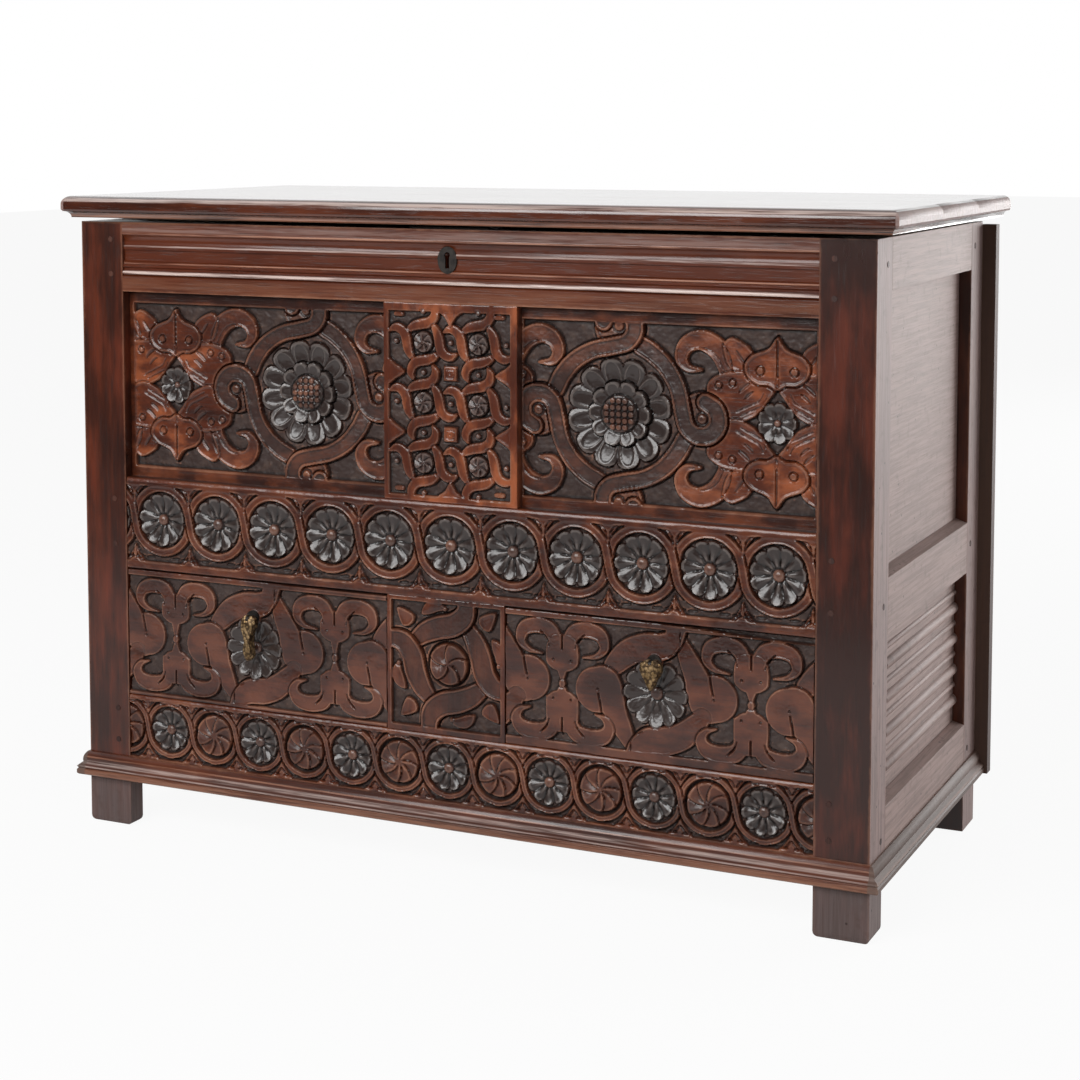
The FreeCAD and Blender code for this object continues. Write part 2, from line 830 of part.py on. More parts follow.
def staple_nails():
    """Nails with their heads sunk into the staple's plate, so that it can rest on the lock."""
    y = staple_y() + staple_width / 2
    z = lid_bottom - iron_thickness + nail_head_rise
    reach = staple_plate_width / 2 - nail_head
    return [nail(V(case_centre + way * reach, y, z), V(0, 0, 1)) for way in (-1, 1)]


# ================================================================ drawers
def drawer_pieces(x0, x1):
    """Front, sides, back and bottom of a drawer that fills the opening from x0 to x1."""
    a = x0 + drawer_side_play
    b = x1 - drawer_side_play
    z0 = drawer_foot + drawer_foot_play
    z1 = drawer_head - drawer_top_play
    joint_y = front + drawer_front_thickness - drawer_rebate
    front_back = front + drawer_front_thickness
    drawer_rear = front + drawer_depth
    side_foot = z0 + drawer_bottom_thickness
    side_head = z1 - drawer_side_drop
    bottom = box(a, b, joint_y, drawer_rear, z0, side_foot)
    groove_z1 = drawer_foot + runner_rise + runner_height + runner_slack
    walls = {}
    for name, outer, into in (("left", a, 1), ("right", b, -1)):
        inner = outer + into * drawer_side_thickness
        wall = box(outer, inner, joint_y, drawer_rear, side_foot, side_head)
        groove = box(
            outer, outer + into * runner_groove_depth, front_back, drawer_rear,
            groove_z1 - runner_groove_height, groove_z1,
        )
        walls["side_" + name] = wall.cut(groove)
    rebates = [box(a, b, joint_y, front_back, z0, side_foot)]
    for outer, into in ((a, 1), (b, -1)):
        rebates.append(box(outer, outer + into * drawer_side_thickness, joint_y, front_back, z0, side_head))
    board = box(a, b, front, front_back, z0, z1).cut(rebates)
    back = box(
        a + drawer_side_thickness, b - drawer_side_thickness,
        drawer_rear - drawer_back_thickness, drawer_rear, side_foot, side_head,
    )
    return {"front": board, "back": back, "bottom": bottom, **walls}


def pull_axis(x):
    z = drawer_foot + drawer_foot_play + pull_axis_height
    return V(x, front - pull_axis_reach, z)


def pull_plate(x):
    """The iron plate on a drawer front: a flat post that ends in an eye, and a tang through the board."""
    axis = pull_axis(x)
    half = pull_eye_thickness / 2
    plate = rod(V(x, front, axis.z), V(0, -1, 0), pull_plate_radius, pull_plate_thickness)
    post = box(x - half, x + half, axis.y, front, axis.z - pull_post_half, axis.z + pull_post_half)
    eye = rod(V(x - half, axis.y, axis.z), V(1, 0, 0), pull_eye_radius, pull_eye_thickness)
    bore = rod(V(x - half, axis.y, axis.z), V(1, 0, 0), pull_pin_radius + pin_clearance, pull_eye_thickness)
    return fused([fused([plate, post, eye]).cut(bore), pull_tang(x)])


def pull_tang(x):
    axis = pull_axis(x)
    half = pull_tang_thickness / 2
    reach = front + drawer_front_thickness + iron_thickness
    return box(x - half, x + half, front, reach, axis.z - half, axis.z + half)


def pull_outline(x, name, y, share=1.0):
    """The drop's closed outline at depth y, drawn in towards its middle by share."""
    axis = pull_axis(x)
    length = pull_drop_length[name]
    middle = length / 2
    half = pull_drop_width[name] / 2 * share
    outline = pull_drop_outline[name]
    right_edge = [(w * half, middle + (drop * length - middle) * share) for w, drop in outline]
    left_edge = [(-w, drop) for w, drop in reversed(right_edge)]
    corners = [V(x + w, y, axis.z - drop) for w, drop in right_edge + left_edge]
    return Part.makePolygon(corners + corners[:1])


def pull_drop(x, name):
    """The cast brass drop: flat behind, its front face drawn in, with a slot for the eye."""
    axis = pull_axis(x)
    back = axis.y + pull_drop_thickness / 2
    shoulder = back - pull_drop_thickness * (1 - pull_drop_slope)
    slab = Part.Face(pull_outline(x, name, back)).extrude(V(0, shoulder - back, 0))
    wires = [
        pull_outline(x, name, shoulder),
        pull_outline(x, name, back - pull_drop_thickness, pull_front_share),
    ]
    slope = Part.makeLoft(wires, True, True)
    slot_half = pull_eye_thickness / 2 + knuckle_gap
    clear = pull_eye_radius + knuckle_gap
    reach = pull_drop_thickness + clear
    slot = box(
        x - slot_half, x + slot_half, axis.y - clear, axis.y + reach, axis.z - clear, axis.z + reach,
    )
    pin = rod(axis - V(slot_half, 0, 0), V(1, 0, 0), pull_pin_radius, 2 * slot_half)
    return fused([fused([slab, slope]).cut(slot), pin])


# ================================================================ assembly
def build():
    pieces = {}

    top = top_rail()
    front_spans = ((panel_head, case_top), (drawer_head, panel_foot), (rail_bottom, drawer_foot))
    middle = front_rail(drawer_head, panel_foot)
    bottom = front_rail(rail_bottom, drawer_foot)
    panel_post = muntin(panel_muntin_left, panel_muntin_right, panel_foot, panel_head)
    drawer_post = muntin(drawer_muntin_left, drawer_muntin_right, drawer_foot, drawer_head)
    spans = ((inner_left, panel_muntin_left), (panel_muntin_right, inner_right))
    panel_seats = [front_panel(x0, x1, panel_play) for x0, x1 in spans]
    bearer = centre_bearer()
    slab = floor_slab()

    side_spans = (
        (case_top - side_top_rail_height, case_top),
        (side_middle_rail_bottom, side_middle_rail_top),
        (rail_bottom, side_bottom_rail_top),
    )
    rear_spans = (side_spans[0], side_spans[1], (rail_bottom, drawer_foot))
    rear_rails = [rear_rail(z0, z1) for z0, z1 in rear_spans]
    peg_spans = front_spans[:2] + ((moulding_top, drawer_foot),)
    pegs = frame_pegs(peg_spans, side_spans, rear_spans)
    boards = back_boards()
    nails = back_nails(boards, (rear_spans[0], rear_spans[-1])) + runner_nails()
    for x in hinge_xs:
        nails += leaf_nails(x)

    pieces["panel_muntin"] = panel_post.cut(panel_seats)
    pieces["drawer_muntin"] = drawer_post
    key_cut = keyhole(front, front_rail_back)
    escutcheon_seat_cut = escutcheon_plate(iron_clearance, escutcheon_seat)
    pieces["front_top_rail"] = top.cut(panel_seats + pegs + [panel_post, key_cut, escutcheon_seat_cut])
    pieces["front_middle_rail"] = middle.cut(panel_seats + pegs + [panel_post, drawer_post, slab])
    pieces["front_bottom_rail"] = bottom.cut(pegs + [drawer_post, bearer])
    for name, (x0, x1) in zip(("left", "right"), spans):
        pieces["front_panel_" + name] = front_panel(x0, x1)

    rear_names = ("rear_top_rail", "rear_middle_rail", "rear_bottom_rail")
    for name, rail in zip(rear_names, rear_rails):
        pieces[name] = rail.cut(pegs + nails + [slab, bearer])

    for side in sides:
        rails = [side_rail(side, z0, z1) for z0, z1 in side_spans]
        upper = (side_middle_rail_top, case_top - side_top_rail_height)
        lower = (side_bottom_rail_top, side_middle_rail_bottom)
        seats = [side_panel(side, z0, z1, panel_play) for z0, z1 in (upper, lower)]
        pieces["side_panel_upper_" + side.name] = side_panel(side, *upper)
        pieces["side_panel_lower_" + side.name] = linenfold_panel(side, *lower)
        rail_names = ("side_top_rail_", "side_middle_rail_", "side_bottom_rail_")
        for name, rail in zip(rail_names, rails):
            pieces[name + side.name] = rail.cut(pegs + seats + [slab])
        mating = [top, middle, bottom] + panel_seats + rails + seats + pegs + nails + rear_rails
        pieces["front_stile_" + side.name] = stile(side, front, side_start).cut(mating)
        pieces["rear_stile_" + side.name] = stile(side, side_end, rear).cut(mating)
        pieces["base_moulding_" + side.name] = base_moulding_side(side)

    pieces["base_moulding_front"] = base_moulding_front()
    pieces["back_boards"] = [board.cut(nails) for board in boards]
    pieces["chest_floor_boards"] = floor_boards()
    pieces["centre_bearer"] = bearer
    pieces["drawer_partitions"] = [board.cut(nails) for board in partitions()]
    pieces["drawer_runners"] = [runner.cut(nails) for runner in runners()]
    pieces["joint_pegs"] = pegs
    pieces["case_nails"] = nails
    pieces["lock_case"] = lock_case()
    pieces["lock_bolt"] = lock_bolt()
    pieces["keyhole_escutcheon"] = escutcheon_plate().cut(keyhole(front, front_rail_back))
    pieces["hinge_leaves"] = [hinge_leaf(x).cut(nails) for x in hinge_xs]
    pieces["hinge_pins"] = [hinge_pin(x) for x in hinge_xs]

    lid_fixings = staple_nails()
    for x in hinge_xs:
        lid_fixings += strap_nails(x)
    for name, board in zip(("front", "middle", "rear"), lid_boards()):
        pieces["lid_board_" + name] = board.cut(lid_fixings)
    for name, x in zip(("left", "right"), hinge_xs):
        pieces["hinge_strap_" + name] = hinge_strap(x).cut(lid_fixings)
    pieces["lock_staple"] = lock_staple().cut(lid_fixings)
    pieces["lid_nails"] = lid_fixings

    openings = {"left": (inner_left, drawer_muntin_left), "right": (drawer_muntin_right, inner_right)}
    for name, (x0, x1) in openings.items():
        drawer = drawer_pieces(x0, x1)
        x = (x0 + x1) / 2
        drawer["front"] = drawer["front"].cut(pull_tang(x))
        for part_name, shape in drawer.items():
            pieces[f"drawer_{name}_{part_name}"] = shape
        pieces["pull_plate_" + name] = pull_plate(x)
        pieces["pull_drop_" + name] = pull_drop(x, name)
    return pieces


def export(pieces):
    os.makedirs("parts", exist_ok=True)
    for name, made in pieces.items():
        shape = Part.makeCompound(made) if isinstance(made, list) else made
        shape.exportStep(f"parts/{name}.step")


export(build())
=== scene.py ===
import json
import math

import bpy
import numpy as np
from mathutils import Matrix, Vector


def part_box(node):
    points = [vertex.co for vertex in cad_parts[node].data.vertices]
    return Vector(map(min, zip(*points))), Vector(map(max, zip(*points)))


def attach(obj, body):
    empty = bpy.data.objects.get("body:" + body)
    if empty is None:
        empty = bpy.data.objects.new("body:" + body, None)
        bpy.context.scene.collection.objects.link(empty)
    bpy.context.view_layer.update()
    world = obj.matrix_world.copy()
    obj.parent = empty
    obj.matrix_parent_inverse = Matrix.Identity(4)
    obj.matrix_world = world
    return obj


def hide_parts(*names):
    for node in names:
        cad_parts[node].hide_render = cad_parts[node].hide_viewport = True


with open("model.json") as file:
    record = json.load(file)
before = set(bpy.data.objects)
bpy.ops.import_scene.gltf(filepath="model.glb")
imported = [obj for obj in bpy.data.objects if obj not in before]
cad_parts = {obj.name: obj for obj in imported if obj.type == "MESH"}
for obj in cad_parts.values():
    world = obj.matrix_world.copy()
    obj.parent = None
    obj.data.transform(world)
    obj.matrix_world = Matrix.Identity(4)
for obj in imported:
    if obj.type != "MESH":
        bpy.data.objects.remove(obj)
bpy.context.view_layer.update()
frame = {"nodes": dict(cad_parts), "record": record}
nodes = frame["nodes"]


def boxMm(node):   # a node's corners in millimetres
    low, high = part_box(node)
    return [v * 1000 for v in low], [v * 1000 for v in high]


print("frame loaded:", len(nodes), "nodes")


# a class round a socket, so that shader maths reads as plain sums
class Shade:
    def __init__(self, tree, socket=None):
        self.tree = tree
        self.socket = socket

    def node(self, kind, settings=None, inputs=None, output=0):
        made = self.tree.nodes.new(kind)
        for name, value in (settings or {}).items():
            setattr(made, name, value)
        for name, value in (inputs or {}).items():
            if isinstance(value, Shade):
                self.tree.links.new(value.socket, made.inputs[name])
            else:
                made.inputs[name].default_value = value
        return Shade(self.tree, made.outputs[output] if len(made.outputs) else None)

    def maths(self, operation, *values):
        return self.node("ShaderNodeMath", {"operation": operation}, dict(enumerate(values)))

    def __add__(self, other):
        return self.maths("ADD", self, other)

    def __radd__(self, other):
        return self.maths("ADD", other, self)

    def __sub__(self, other):
        return self.maths("SUBTRACT", self, other)

    def __rsub__(self, other):
        return self.maths("SUBTRACT", other, self)

    def __mul__(self, other):
        return self.maths("MULTIPLY", self, other)

    def __rmul__(self, other):
        return self.maths("MULTIPLY", other, self)

    def least(self, other):
        return self.maths("MINIMUM", self, other)

    def most(self, other):
        return self.maths("MAXIMUM", self, other)

    def ramp(self, low, high, start=0.0, end=1.0):
        ends = {"Value": self, "From Min": low, "From Max": high, "To Min": start, "To Max": end}
        return self.node("ShaderNodeMapRange", {"interpolation_type": "SMOOTHSTEP"}, ends)

    def blend(self, share, other):   # self and other are colours
        other = other if isinstance(other, Shade) else (*other, 1.0)
        return self.node("ShaderNodeMix", {"data_type": "RGBA"}, {0: share, 6: self, 7: other}, 2)

    def colour(self, value):
        return self.node("ShaderNodeMix", {"data_type": "RGBA"}, {0: 0.0, 6: (*value, 1.0)}, 2)


def newMaterial(name):
    material = bpy.data.materials.new(name)
    material.use_nodes = True
    tree = material.node_tree
    tree.nodes.clear()
    return material, Shade(tree)


def finishMaterial(shade, sockets):
    surface = shade.node("ShaderNodeBsdfPrincipled", None, sockets)
    shade.node("ShaderNodeOutputMaterial", None, {"Surface": surface})


def giveMaterial(piece, material):
    piece.data.materials.clear()
    piece.data.materials.append(material)


grainTurns = {"x": (0, 0, 0), "y": (0, 0, math.pi / 2), "z": (0, math.pi / 2, 0)}
grainShift = (0.37, 0.61, 0.23)   # how far one seed more moves the figure, so that no two boards match

wormScale = 36.0   # worm holes to a metre
cloudScale = {"carved": (20.0, 36.0), "plain": (5.0, 30.0)}   # along and across the board

oak = {   # linear colours
    "dark": (0.026, 0.0056, 0.0026),
    "red": (0.098, 0.0190, 0.0055),
    "thin": (0.165, 0.044, 0.015),
    "ember": (0.33, 0.088, 0.030),   # where the panels and the muntin between them are rubbed
    "wine": (0.20, 0.034, 0.014),    # where the front stiles are
    "worn": (0.265, 0.115, 0.066),   # the arrises
    "pore": (0.012, 0.004, 0.003),
    "ground": (0.026, 0.0098, 0.0062),   # the sunk ground of the carving
    "grime": (0.050, 0.025, 0.017),
    "bog": (0.022, 0.0115, 0.0090),      # the blackened rosettes
    # a painted shade, laid into the carving's hollows
    "creaseShade": (0.006, 0.0035, 0.003),
    # pale: dust in patches on some boards, and a painted highlight along the rosettes' rims
    "dustAndSheen": (0.20, 0.17, 0.155),
    # the next two paint highlights along the moulded beads: the first partly the polish of their crests, the
    # second a painted highlight only
    "polishAndHighlight": (0.42, 0.21, 0.14),
    "paintedHighlight": (0.66, 0.52, 0.47),
    "sole": (0.135, 0.100, 0.096),       # the front feet
    "weatheredAndSheen": (0.135, 0.094, 0.076),  # the base moulding at the ends: weathered wood with a painted reflection of the bright room
    "fadedAndSheen": (0.37, 0.255, 0.235),       # the outside of the ends: faded wood, paled further by a painted reflection of the bright room
    "stained": (0.035, 0.0105, 0.0065),  # the ends of the back boards
    "dry": (0.230, 0.130, 0.075),        # the unpolished inside and back
}


def grainOf(shade, axis, seed, clouds):
    # figure, streaks and pores run along the board, over patches and clouds of old finish, and dents
    where = shade.node("ShaderNodeTexCoord", None, None, 3)
    moved = tuple(seed * shift for shift in grainShift)
    turned = shade.node("ShaderNodeMapping", None, {
        "Vector": where, "Location": moved, "Rotation": grainTurns[axis]})

    def streaks(along, across, detail, rough):
        scaled = shade.node("ShaderNodeMapping", None, {"Vector": turned, "Scale": (along, across, across)})
        return shade.node("ShaderNodeTexNoise", None, {
            "Vector": scaled, "Scale": 1.0, "Detail": detail, "Roughness": rough})

    return {
        "where": where,
        "figure": streaks(3.0, 42.0, 3.0, 0.6),
        "streaks": streaks(7.0, 210.0, 3.0, 0.7),
        "pores": streaks(24.0, 900.0, 2.0, 0.5),
        "patches": streaks(5.0, 9.0, 3.0, 0.55),
        "clouds": streaks(*clouds, 4.0, 0.65),
        "dents": streaks(60.0, 60.0, 2.0, 0.5),
    }


def edgeWear(shade, where, low, high, reach):
    # 1 at a board's own edges: the middle one of its three distances to the faces is small there
    parts = shade.node("ShaderNodeSeparateXYZ", None, {0: where})
    gaps = []
    for axis in range(3):
        value = Shade(shade.tree, parts.socket.node.outputs[axis])
        gaps.append((value - low[axis]).least(high[axis] - value))
    near, far = gaps[0].least(gaps[1]), gaps[0].most(gaps[1])
    second = near.most(far.least(gaps[2]))
    return second.ramp(0.0, reach, 1.0, 0.0)


def beyond(shade, where, axis, low, high):   # 1 below the one place and above the other
    place = shade.node("ShaderNodeSeparateXYZ", None, {0: where}, "xyz".index(axis))
    return (place - high).ramp(0.0, 0.0005).most((low - place).ramp(0.0, 0.0005))


def oakMaterial(name, axis, seed, box=None, red=0.5, worn=0.8, gloss=0.3, carved=False, dusty=0.0,
                wax=0.2, bare=(), beads=(), thin="thin"):
    material, shade = newMaterial(name)
    grain = grainOf(shade, axis, seed, cloudScale["carved" if carved else "plain"])
    fresh = red - 0.2
    if carved:
        relief, edge, bog, wear = (shade.node("ShaderNodeAttribute", {"attribute_name": field}, None, 2)
                                   for field in ("relief", "edge", "bog", "wear"))
        fresh = wear * 0.8 + (red - 0.6)
    share = grain["figure"] * 0.9 + grain["streaks"] * 0.7 + grain["patches"] * 1.2 + grain["clouds"] * 1.1
    share = (share + fresh).ramp(1.8, 2.8)
    base = shade.colour(oak["dark"]).blend(share, oak["red"])
    pore = grain["pores"].ramp(0.56, 0.72)
    base = base.blend(pore * 0.55, oak["pore"])
    # rubbed is where hands and cloths have thinned the old finish
    rubbed = (grain["patches"] * 0.5 + grain["clouds"] * 0.5).ramp(0.46, 0.64)
    roughness = gloss + 0.10 * grain["patches"] + 0.12 * pore
    height = grain["figure"] * 0.25 + grain["streaks"] * 0.3 - pore * 0.35 + grain["dents"] * 0.5
    if carved:
        top = base.blend(rubbed * wear, oak[thin])
        ground = shade.colour(oak["ground"]).blend(grain["dents"].ramp(0.45, 0.7), oak["grime"])
        base = ground.blend(relief, top)
        base = base.blend(bog, oak["bog"])
        rub = (edge + grain["dents"] * 0.8 - 0.6).ramp(0.1, 0.9)
        base = base.blend(rub * (rubbed * 0.7 + 0.3) * worn * (1.0 - bog * 0.9), oak["worn"])
        # a pale painted highlight along the raised rims of the rosettes
        base = base.blend(edge.ramp(0.2, 1.0) * bog * 0.4, oak["dustAndSheen"])
        # painted shade in the hollows and at the foot of the walls, darkest in the rosettes
        creaseShade = (0.0 - edge).ramp(0.25, 0.9)
        base = base.blend(creaseShade * (bog * 0.3 + 0.6), oak["creaseShade"])
        roughness = roughness + bog * 0.02 + (1.0 - relief) * 0.28
        wax = wax * (relief * 0.8 + 0.2) + bog * 0.25
    else:
        base = base.blend(rubbed * 0.35, oak[thin])
    if box:
        edge = edgeWear(shade, grain["where"], *box)
        rub = (edge + grain["dents"] * 0.9 + grain["patches"] * 2.0 - 1.7).ramp(0.1, 0.9)
        base = base.blend(rub * worn, oak["worn"])
    for place, half, colour, share in beads:   # painted highlights along the moulded beads, partly the polish of their crests, and bands of worn colour
        z = shade.node("ShaderNodeSeparateXYZ", None, {0: grain["where"]}, 2)
        line = z.maths("ABSOLUTE", z - place).ramp(half * 0.4, half, 1.0, 0.0)
        base = base.blend(line * grain["streaks"].ramp(0.3, 0.6) * share, oak[colour])
    if dusty:
        base = base.blend(grain["patches"].ramp(0.3, 0.8) * dusty, oak["dustAndSheen"])
    for colour, along, under, over in bare:   # unpolished wood, dulled; on the outer ends its paleness is partly a painted reflection of the bright room
        mask = beyond(shade, grain["where"], along, under, over)
        dulled = shade.colour(oak[colour]).blend(grain["streaks"].ramp(0.35, 0.65) * 0.4, oak["grime"])
        dulled = dulled.blend(pore * 0.3 + grain["dents"].ramp(0.55, 0.75) * 0.3, oak["grime"])
        worm = shade.node("ShaderNodeTexVoronoi", None, {"Vector": grain["where"], "Scale": wormScale})
        dulled = dulled.blend(worm.ramp(0.04, 0.08, 0.85, 0.0), oak["pore"])
        base = base.blend(mask * 0.72, dulled)
        roughness = roughness.most(mask * (gloss + 0.38))
        wax = wax * (1.0 - mask)
    bump = shade.node("ShaderNodeBump", None, {"Height": height, "Strength": 0.4, "Distance": 0.0005})
    finishMaterial(shade, {"Base Color": base, "Roughness": roughness, "Normal": bump, "Coat Weight": wax,
                           "Coat Roughness": 0.14})
    return material


def metalMaterial(name, colours, metallic, gloss, scale=90.0, cast=0.0):
    material, shade = newMaterial(name)
    where = shade.node("ShaderNodeTexCoord", None, None, 3)
    cloud = shade.node("ShaderNodeTexNoise", None, {
        "Vector": where, "Scale": scale, "Detail": 5.0, "Roughness": 0.65})
    pits = shade.node("ShaderNodeTexNoise", None, {"Vector": where, "Scale": scale * 9, "Detail": 2.0})
    base = shade.colour(colours[0]).blend(cloud.ramp(0.35, 0.65), colours[1])
    base = base.blend(pits.ramp(0.6, 0.75) * 0.5, colours[2])
    height = cloud * 0.7 + pits * 0.3
    if cast:   # the worn leafy relief of a casting, dark where polish can't reach
        cells = shade.node("ShaderNodeTexVoronoi", None, {"Vector": where, "Scale": cast})
        base = base.blend(cells.ramp(0.35, 0.7) * 0.85, colours[2])
        height = height - cells * 3.0
    bump = shade.node("ShaderNodeBump", None, {"Height": height, "Strength": 0.6, "Distance": 0.0005})
    finishMaterial(shade, {
        "Base Color": base, "Metallic": metallic, "Roughness": cloud.ramp(0.3, 0.7, gloss, gloss + 0.25),
        "Normal": bump})
    return material


metals = {   # the colours of the metal, its bright places and its pits, and how metallic and rough it is
    "forgedIron": {
        "colours": ((0.018, 0.016, 0.015), (0.045, 0.038, 0.034), (0.07, 0.035, 0.02)),
        "metallic": 0.7, "gloss": 0.4},
    "agedBrass": {
        "colours": ((0.20, 0.125, 0.055), (0.44, 0.30, 0.16), (0.045, 0.027, 0.017)),
        "metallic": 0.9, "gloss": 0.34, "cast": 230.0},
}
iron, brass = (metalMaterial(name, **look) for name, look in metals.items())
print("materials ready")


# each carved face is a field of heights over its board, cut and laid up in millimetres
def smooth(value, low, high):
    t = np.clip((value - low) / (high - low), 0.0, 1.0)
    return t * t * (3.0 - 2.0 * t)


def curveThrough(points, closed=False, spacing=1.5):
    points = np.array(points, float)
    if closed:
        ends = np.vstack([points[-1:], points, points[:2]])
    else:
        ends = np.vstack([2 * points[:1] - points[1:2], points, 2 * points[-1:] - points[-2:-1]])
    runs = []
    for a, b, c, d in zip(ends, ends[1:], ends[2:], ends[3:]):
        count = max(2, int(np.hypot(*(c - b)[:2]) / spacing))
        t = np.linspace(0, 1, count, endpoint=False)[:, None]
        bend = (2 * a - 5 * b + 4 * c - d) * t ** 2 + (3 * b - a - 3 * c + d) * t ** 3
        runs.append(0.5 * (2 * b + (c - a) * t + bend))
    return np.vstack(runs if closed else runs + [points[-1:]])


def flipped(points, x=0.0, z=0.0, across=1, up=1, turn=0.0):
    # points mirrored, turned by degrees and then moved
    c, s = math.cos(math.radians(turn)), math.sin(math.radians(turn))
    made = []
    for px, pz, *rest in points:
        px, pz = px * across, pz * up
        made.append((x + px * c - pz * s, z + px * s + pz * c, *rest))
    return made


class Carving:
    def __init__(self, low, high, step, depth):
        self.xs = np.linspace(low[0], high[0], int(round((high[0] - low[0]) / step)) + 1)
        self.zs = np.linspace(low[1], high[1], int(round((high[1] - low[1]) / step)) + 1)
        self.height = np.full((len(self.zs), len(self.xs)), -float(depth))
        self.bog = np.zeros_like(self.height)      # 1 on the rosettes, which stand in blacker wood
        self.solid = np.zeros_like(self.height)    # 0 on the sunk ground
        self.wear = np.full_like(self.height, 0.5)
        self.rubbed = 0.5                          # how far the finish is worn on what is laid next

    def patch(self, low, high):
        i0, i1 = np.searchsorted(self.xs, (low[0], high[0]))
        j0, j1 = np.searchsorted(self.zs, (low[1], high[1]))
        if i1 <= i0 or j1 <= j0:
            return None
        gx, gz = np.meshgrid(self.xs[i0:i1], self.zs[j0:j1])
        return (slice(j0, j1), slice(i0, i1)), gx, gz

    def disc(self, x, z, r):   # the patch round a point, and each place's distance from it
        got = self.patch((x - r, z - r), (x + r, z + r))
        return got and (*got, np.hypot(got[1] - x, got[2] - z))

    def along(self, points, reach):   # the patch along a curve, and the distance from it
        path = curveThrough(points)
        got = self.patch(path.min(0)[:2] - reach, path.max(0)[:2] + reach)
        if got is None:
            return None
        if path.shape[1] < 4:   # a line with neither width nor rise
            path = [(*p, 0.0, 0.0) for p in path]
        area, gx, gz = got
        far = np.full(gx.shape, 1e9)
        half = np.ones(gx.shape)
        lift = np.zeros(gx.shape)
        share = np.zeros(gx.shape)
        for i, (x, z, width, rise) in enumerate(path):
            gap = np.hypot(gx - x, gz - z) - width / 2
            nearer = gap < far
            half[nearer] = max(width / 2, 0.1)
            lift[nearer] = rise
            share[nearer] = i / len(path)
            far = np.minimum(far, gap)
        return area, far, half, lift, share

    def lay(self, area, outside, section, wall=2.0, notch=0.0, bog=0.0, solid=1.0):
        old = self.height[area]
        old = old - notch * (1 - smooth(outside, 0.4, 1.8)) * (outside > -wall)
        cover = 1 - smooth(outside, -wall, 0.0)
        self.height[area] = old * (1 - cover) + section * cover
        for field, value in ((self.bog, bog), (self.solid, solid), (self.wear, self.rubbed)):
            field[area] = field[area] * (1 - cover) + value * cover

    def strap(self, points, width, level=0.0, hollow=0.0, crown=0.0, notch=1.4, wall=1.8, fillet=0.0,
              part=(0.0, 1.0), dark=0.0):
        widths = width if hasattr(width, "__len__") else [width] * len(points)
        levels = level if hasattr(level, "__len__") else [level] * len(points)
        got = self.along([(*p[:2], w, h) for p, w, h in zip(points, widths, levels)], max(widths) / 2 + 4)
        if got is None:
            return
        area, outside, half, lift, share = got
        outside = np.where((share < part[0]) | (share > part[1]), 9.0, outside)
        inner = np.clip(-outside / half, 0, 1)
        section = lift + crown * np.sqrt(1 - (1 - inner) ** 2)
        solid = 1.0
        if fillet:   # a raised edge of that width, and the hollow between
            between = smooth(-outside, fillet, fillet + 1.6)
            section = section - hollow * between
            solid = 1.0 - dark * between
        else:
            section = section - hollow * smooth(inner, 0.2, 0.9)
        self.lay(area, outside, section, wall, notch, 0.0, solid)

    def leaf(self, outline, level=0.0, dish=0.0, crown=0.0, notch=1.4, wall=2.0, bog=0.0, rim=1.0):
        edge = curveThrough(outline, closed=True)
        got = self.patch(edge.min(0) - 4, edge.max(0) + 4)
        if got is None:
            return
        area, gx, gz = got
        far = np.full(gx.shape, 1e9)
        inside = np.zeros(gx.shape, bool)
        for (ax, az), (bx, bz) in zip(edge, np.roll(edge, -1, 0)):
            far = np.minimum(far, np.hypot(gx - ax, gz - az))
            if az != bz:
                inside ^= ((az > gz) != (bz > gz)) & (gx < (bx - ax) * (gz - az) / (bz - az) + ax)
        deep = np.where(inside, far, 0.0)
        slope = 6.0 if rim < 2 else 1.6   # the hollow falls gently from a thin rim, steeply from a broad one
        section = level - dish * smooth(deep, rim, rim + slope) + crown * smooth(deep, 0.0, 9.0)
        self.lay(area, np.where(inside, -far, far), section, wall, notch, bog)

    def groove(self, points, width=2.6, depth=2.0):
        got = self.along([p[:2] for p in points], width + 1)
        if got:
            self.height[got[0]] -= depth * (1 - smooth(got[1], 0.0, width / 2 + 0.4))

    def hole(self, x, z, r=1.7, depth=2.6):
        got = self.disc(x, z, r + 2)
        if got:
            self.height[got[0]] -= depth * (1 - smooth(got[3], r * 0.4, r + 0.6))

    def bead(self, x, z, r, rise=2.5, ring=1.2, bog=None):
        got = self.disc(x, z, r + 4)
        if got:
            area, _, _, far = got
            self.height[area] -= ring * (1 - smooth(np.abs(far - r - 1.0), 0.4, 1.6))
            self.height[area] += rise * np.sqrt(np.clip(1 - (far / r) ** 2, 0, 1))
            if bog is not None:
                self.bog[area] = np.where(far < r, bog, self.bog[area])

    def gouge(self, x, z, turn, length, width, depth=2.2, bend=0.0):
        got = self.disc(x, z, length / 2 + 2)
        if got is None:
            return
        area, gx, gz, _ = got
        c, s = math.cos(math.radians(turn)), math.sin(math.radians(turn))
        u = ((gx - x) * c + (gz - z) * s) / (length / 2)
        v = (gz - z) * c - (gx - x) * s - bend * (1 - u * u)
        lens = np.sqrt(np.clip(1 - u * u, 0, 1)) * width / 2 + 1e-6
        self.height[area] -= depth * np.clip(1 - (v / lens) ** 2, 0, 1) * (np.abs(u) < 1)

    def petals(self, x, z, r, count, level, valley, turn=0.0, spoon=0.0, bowl=0.0, notch=2.0):
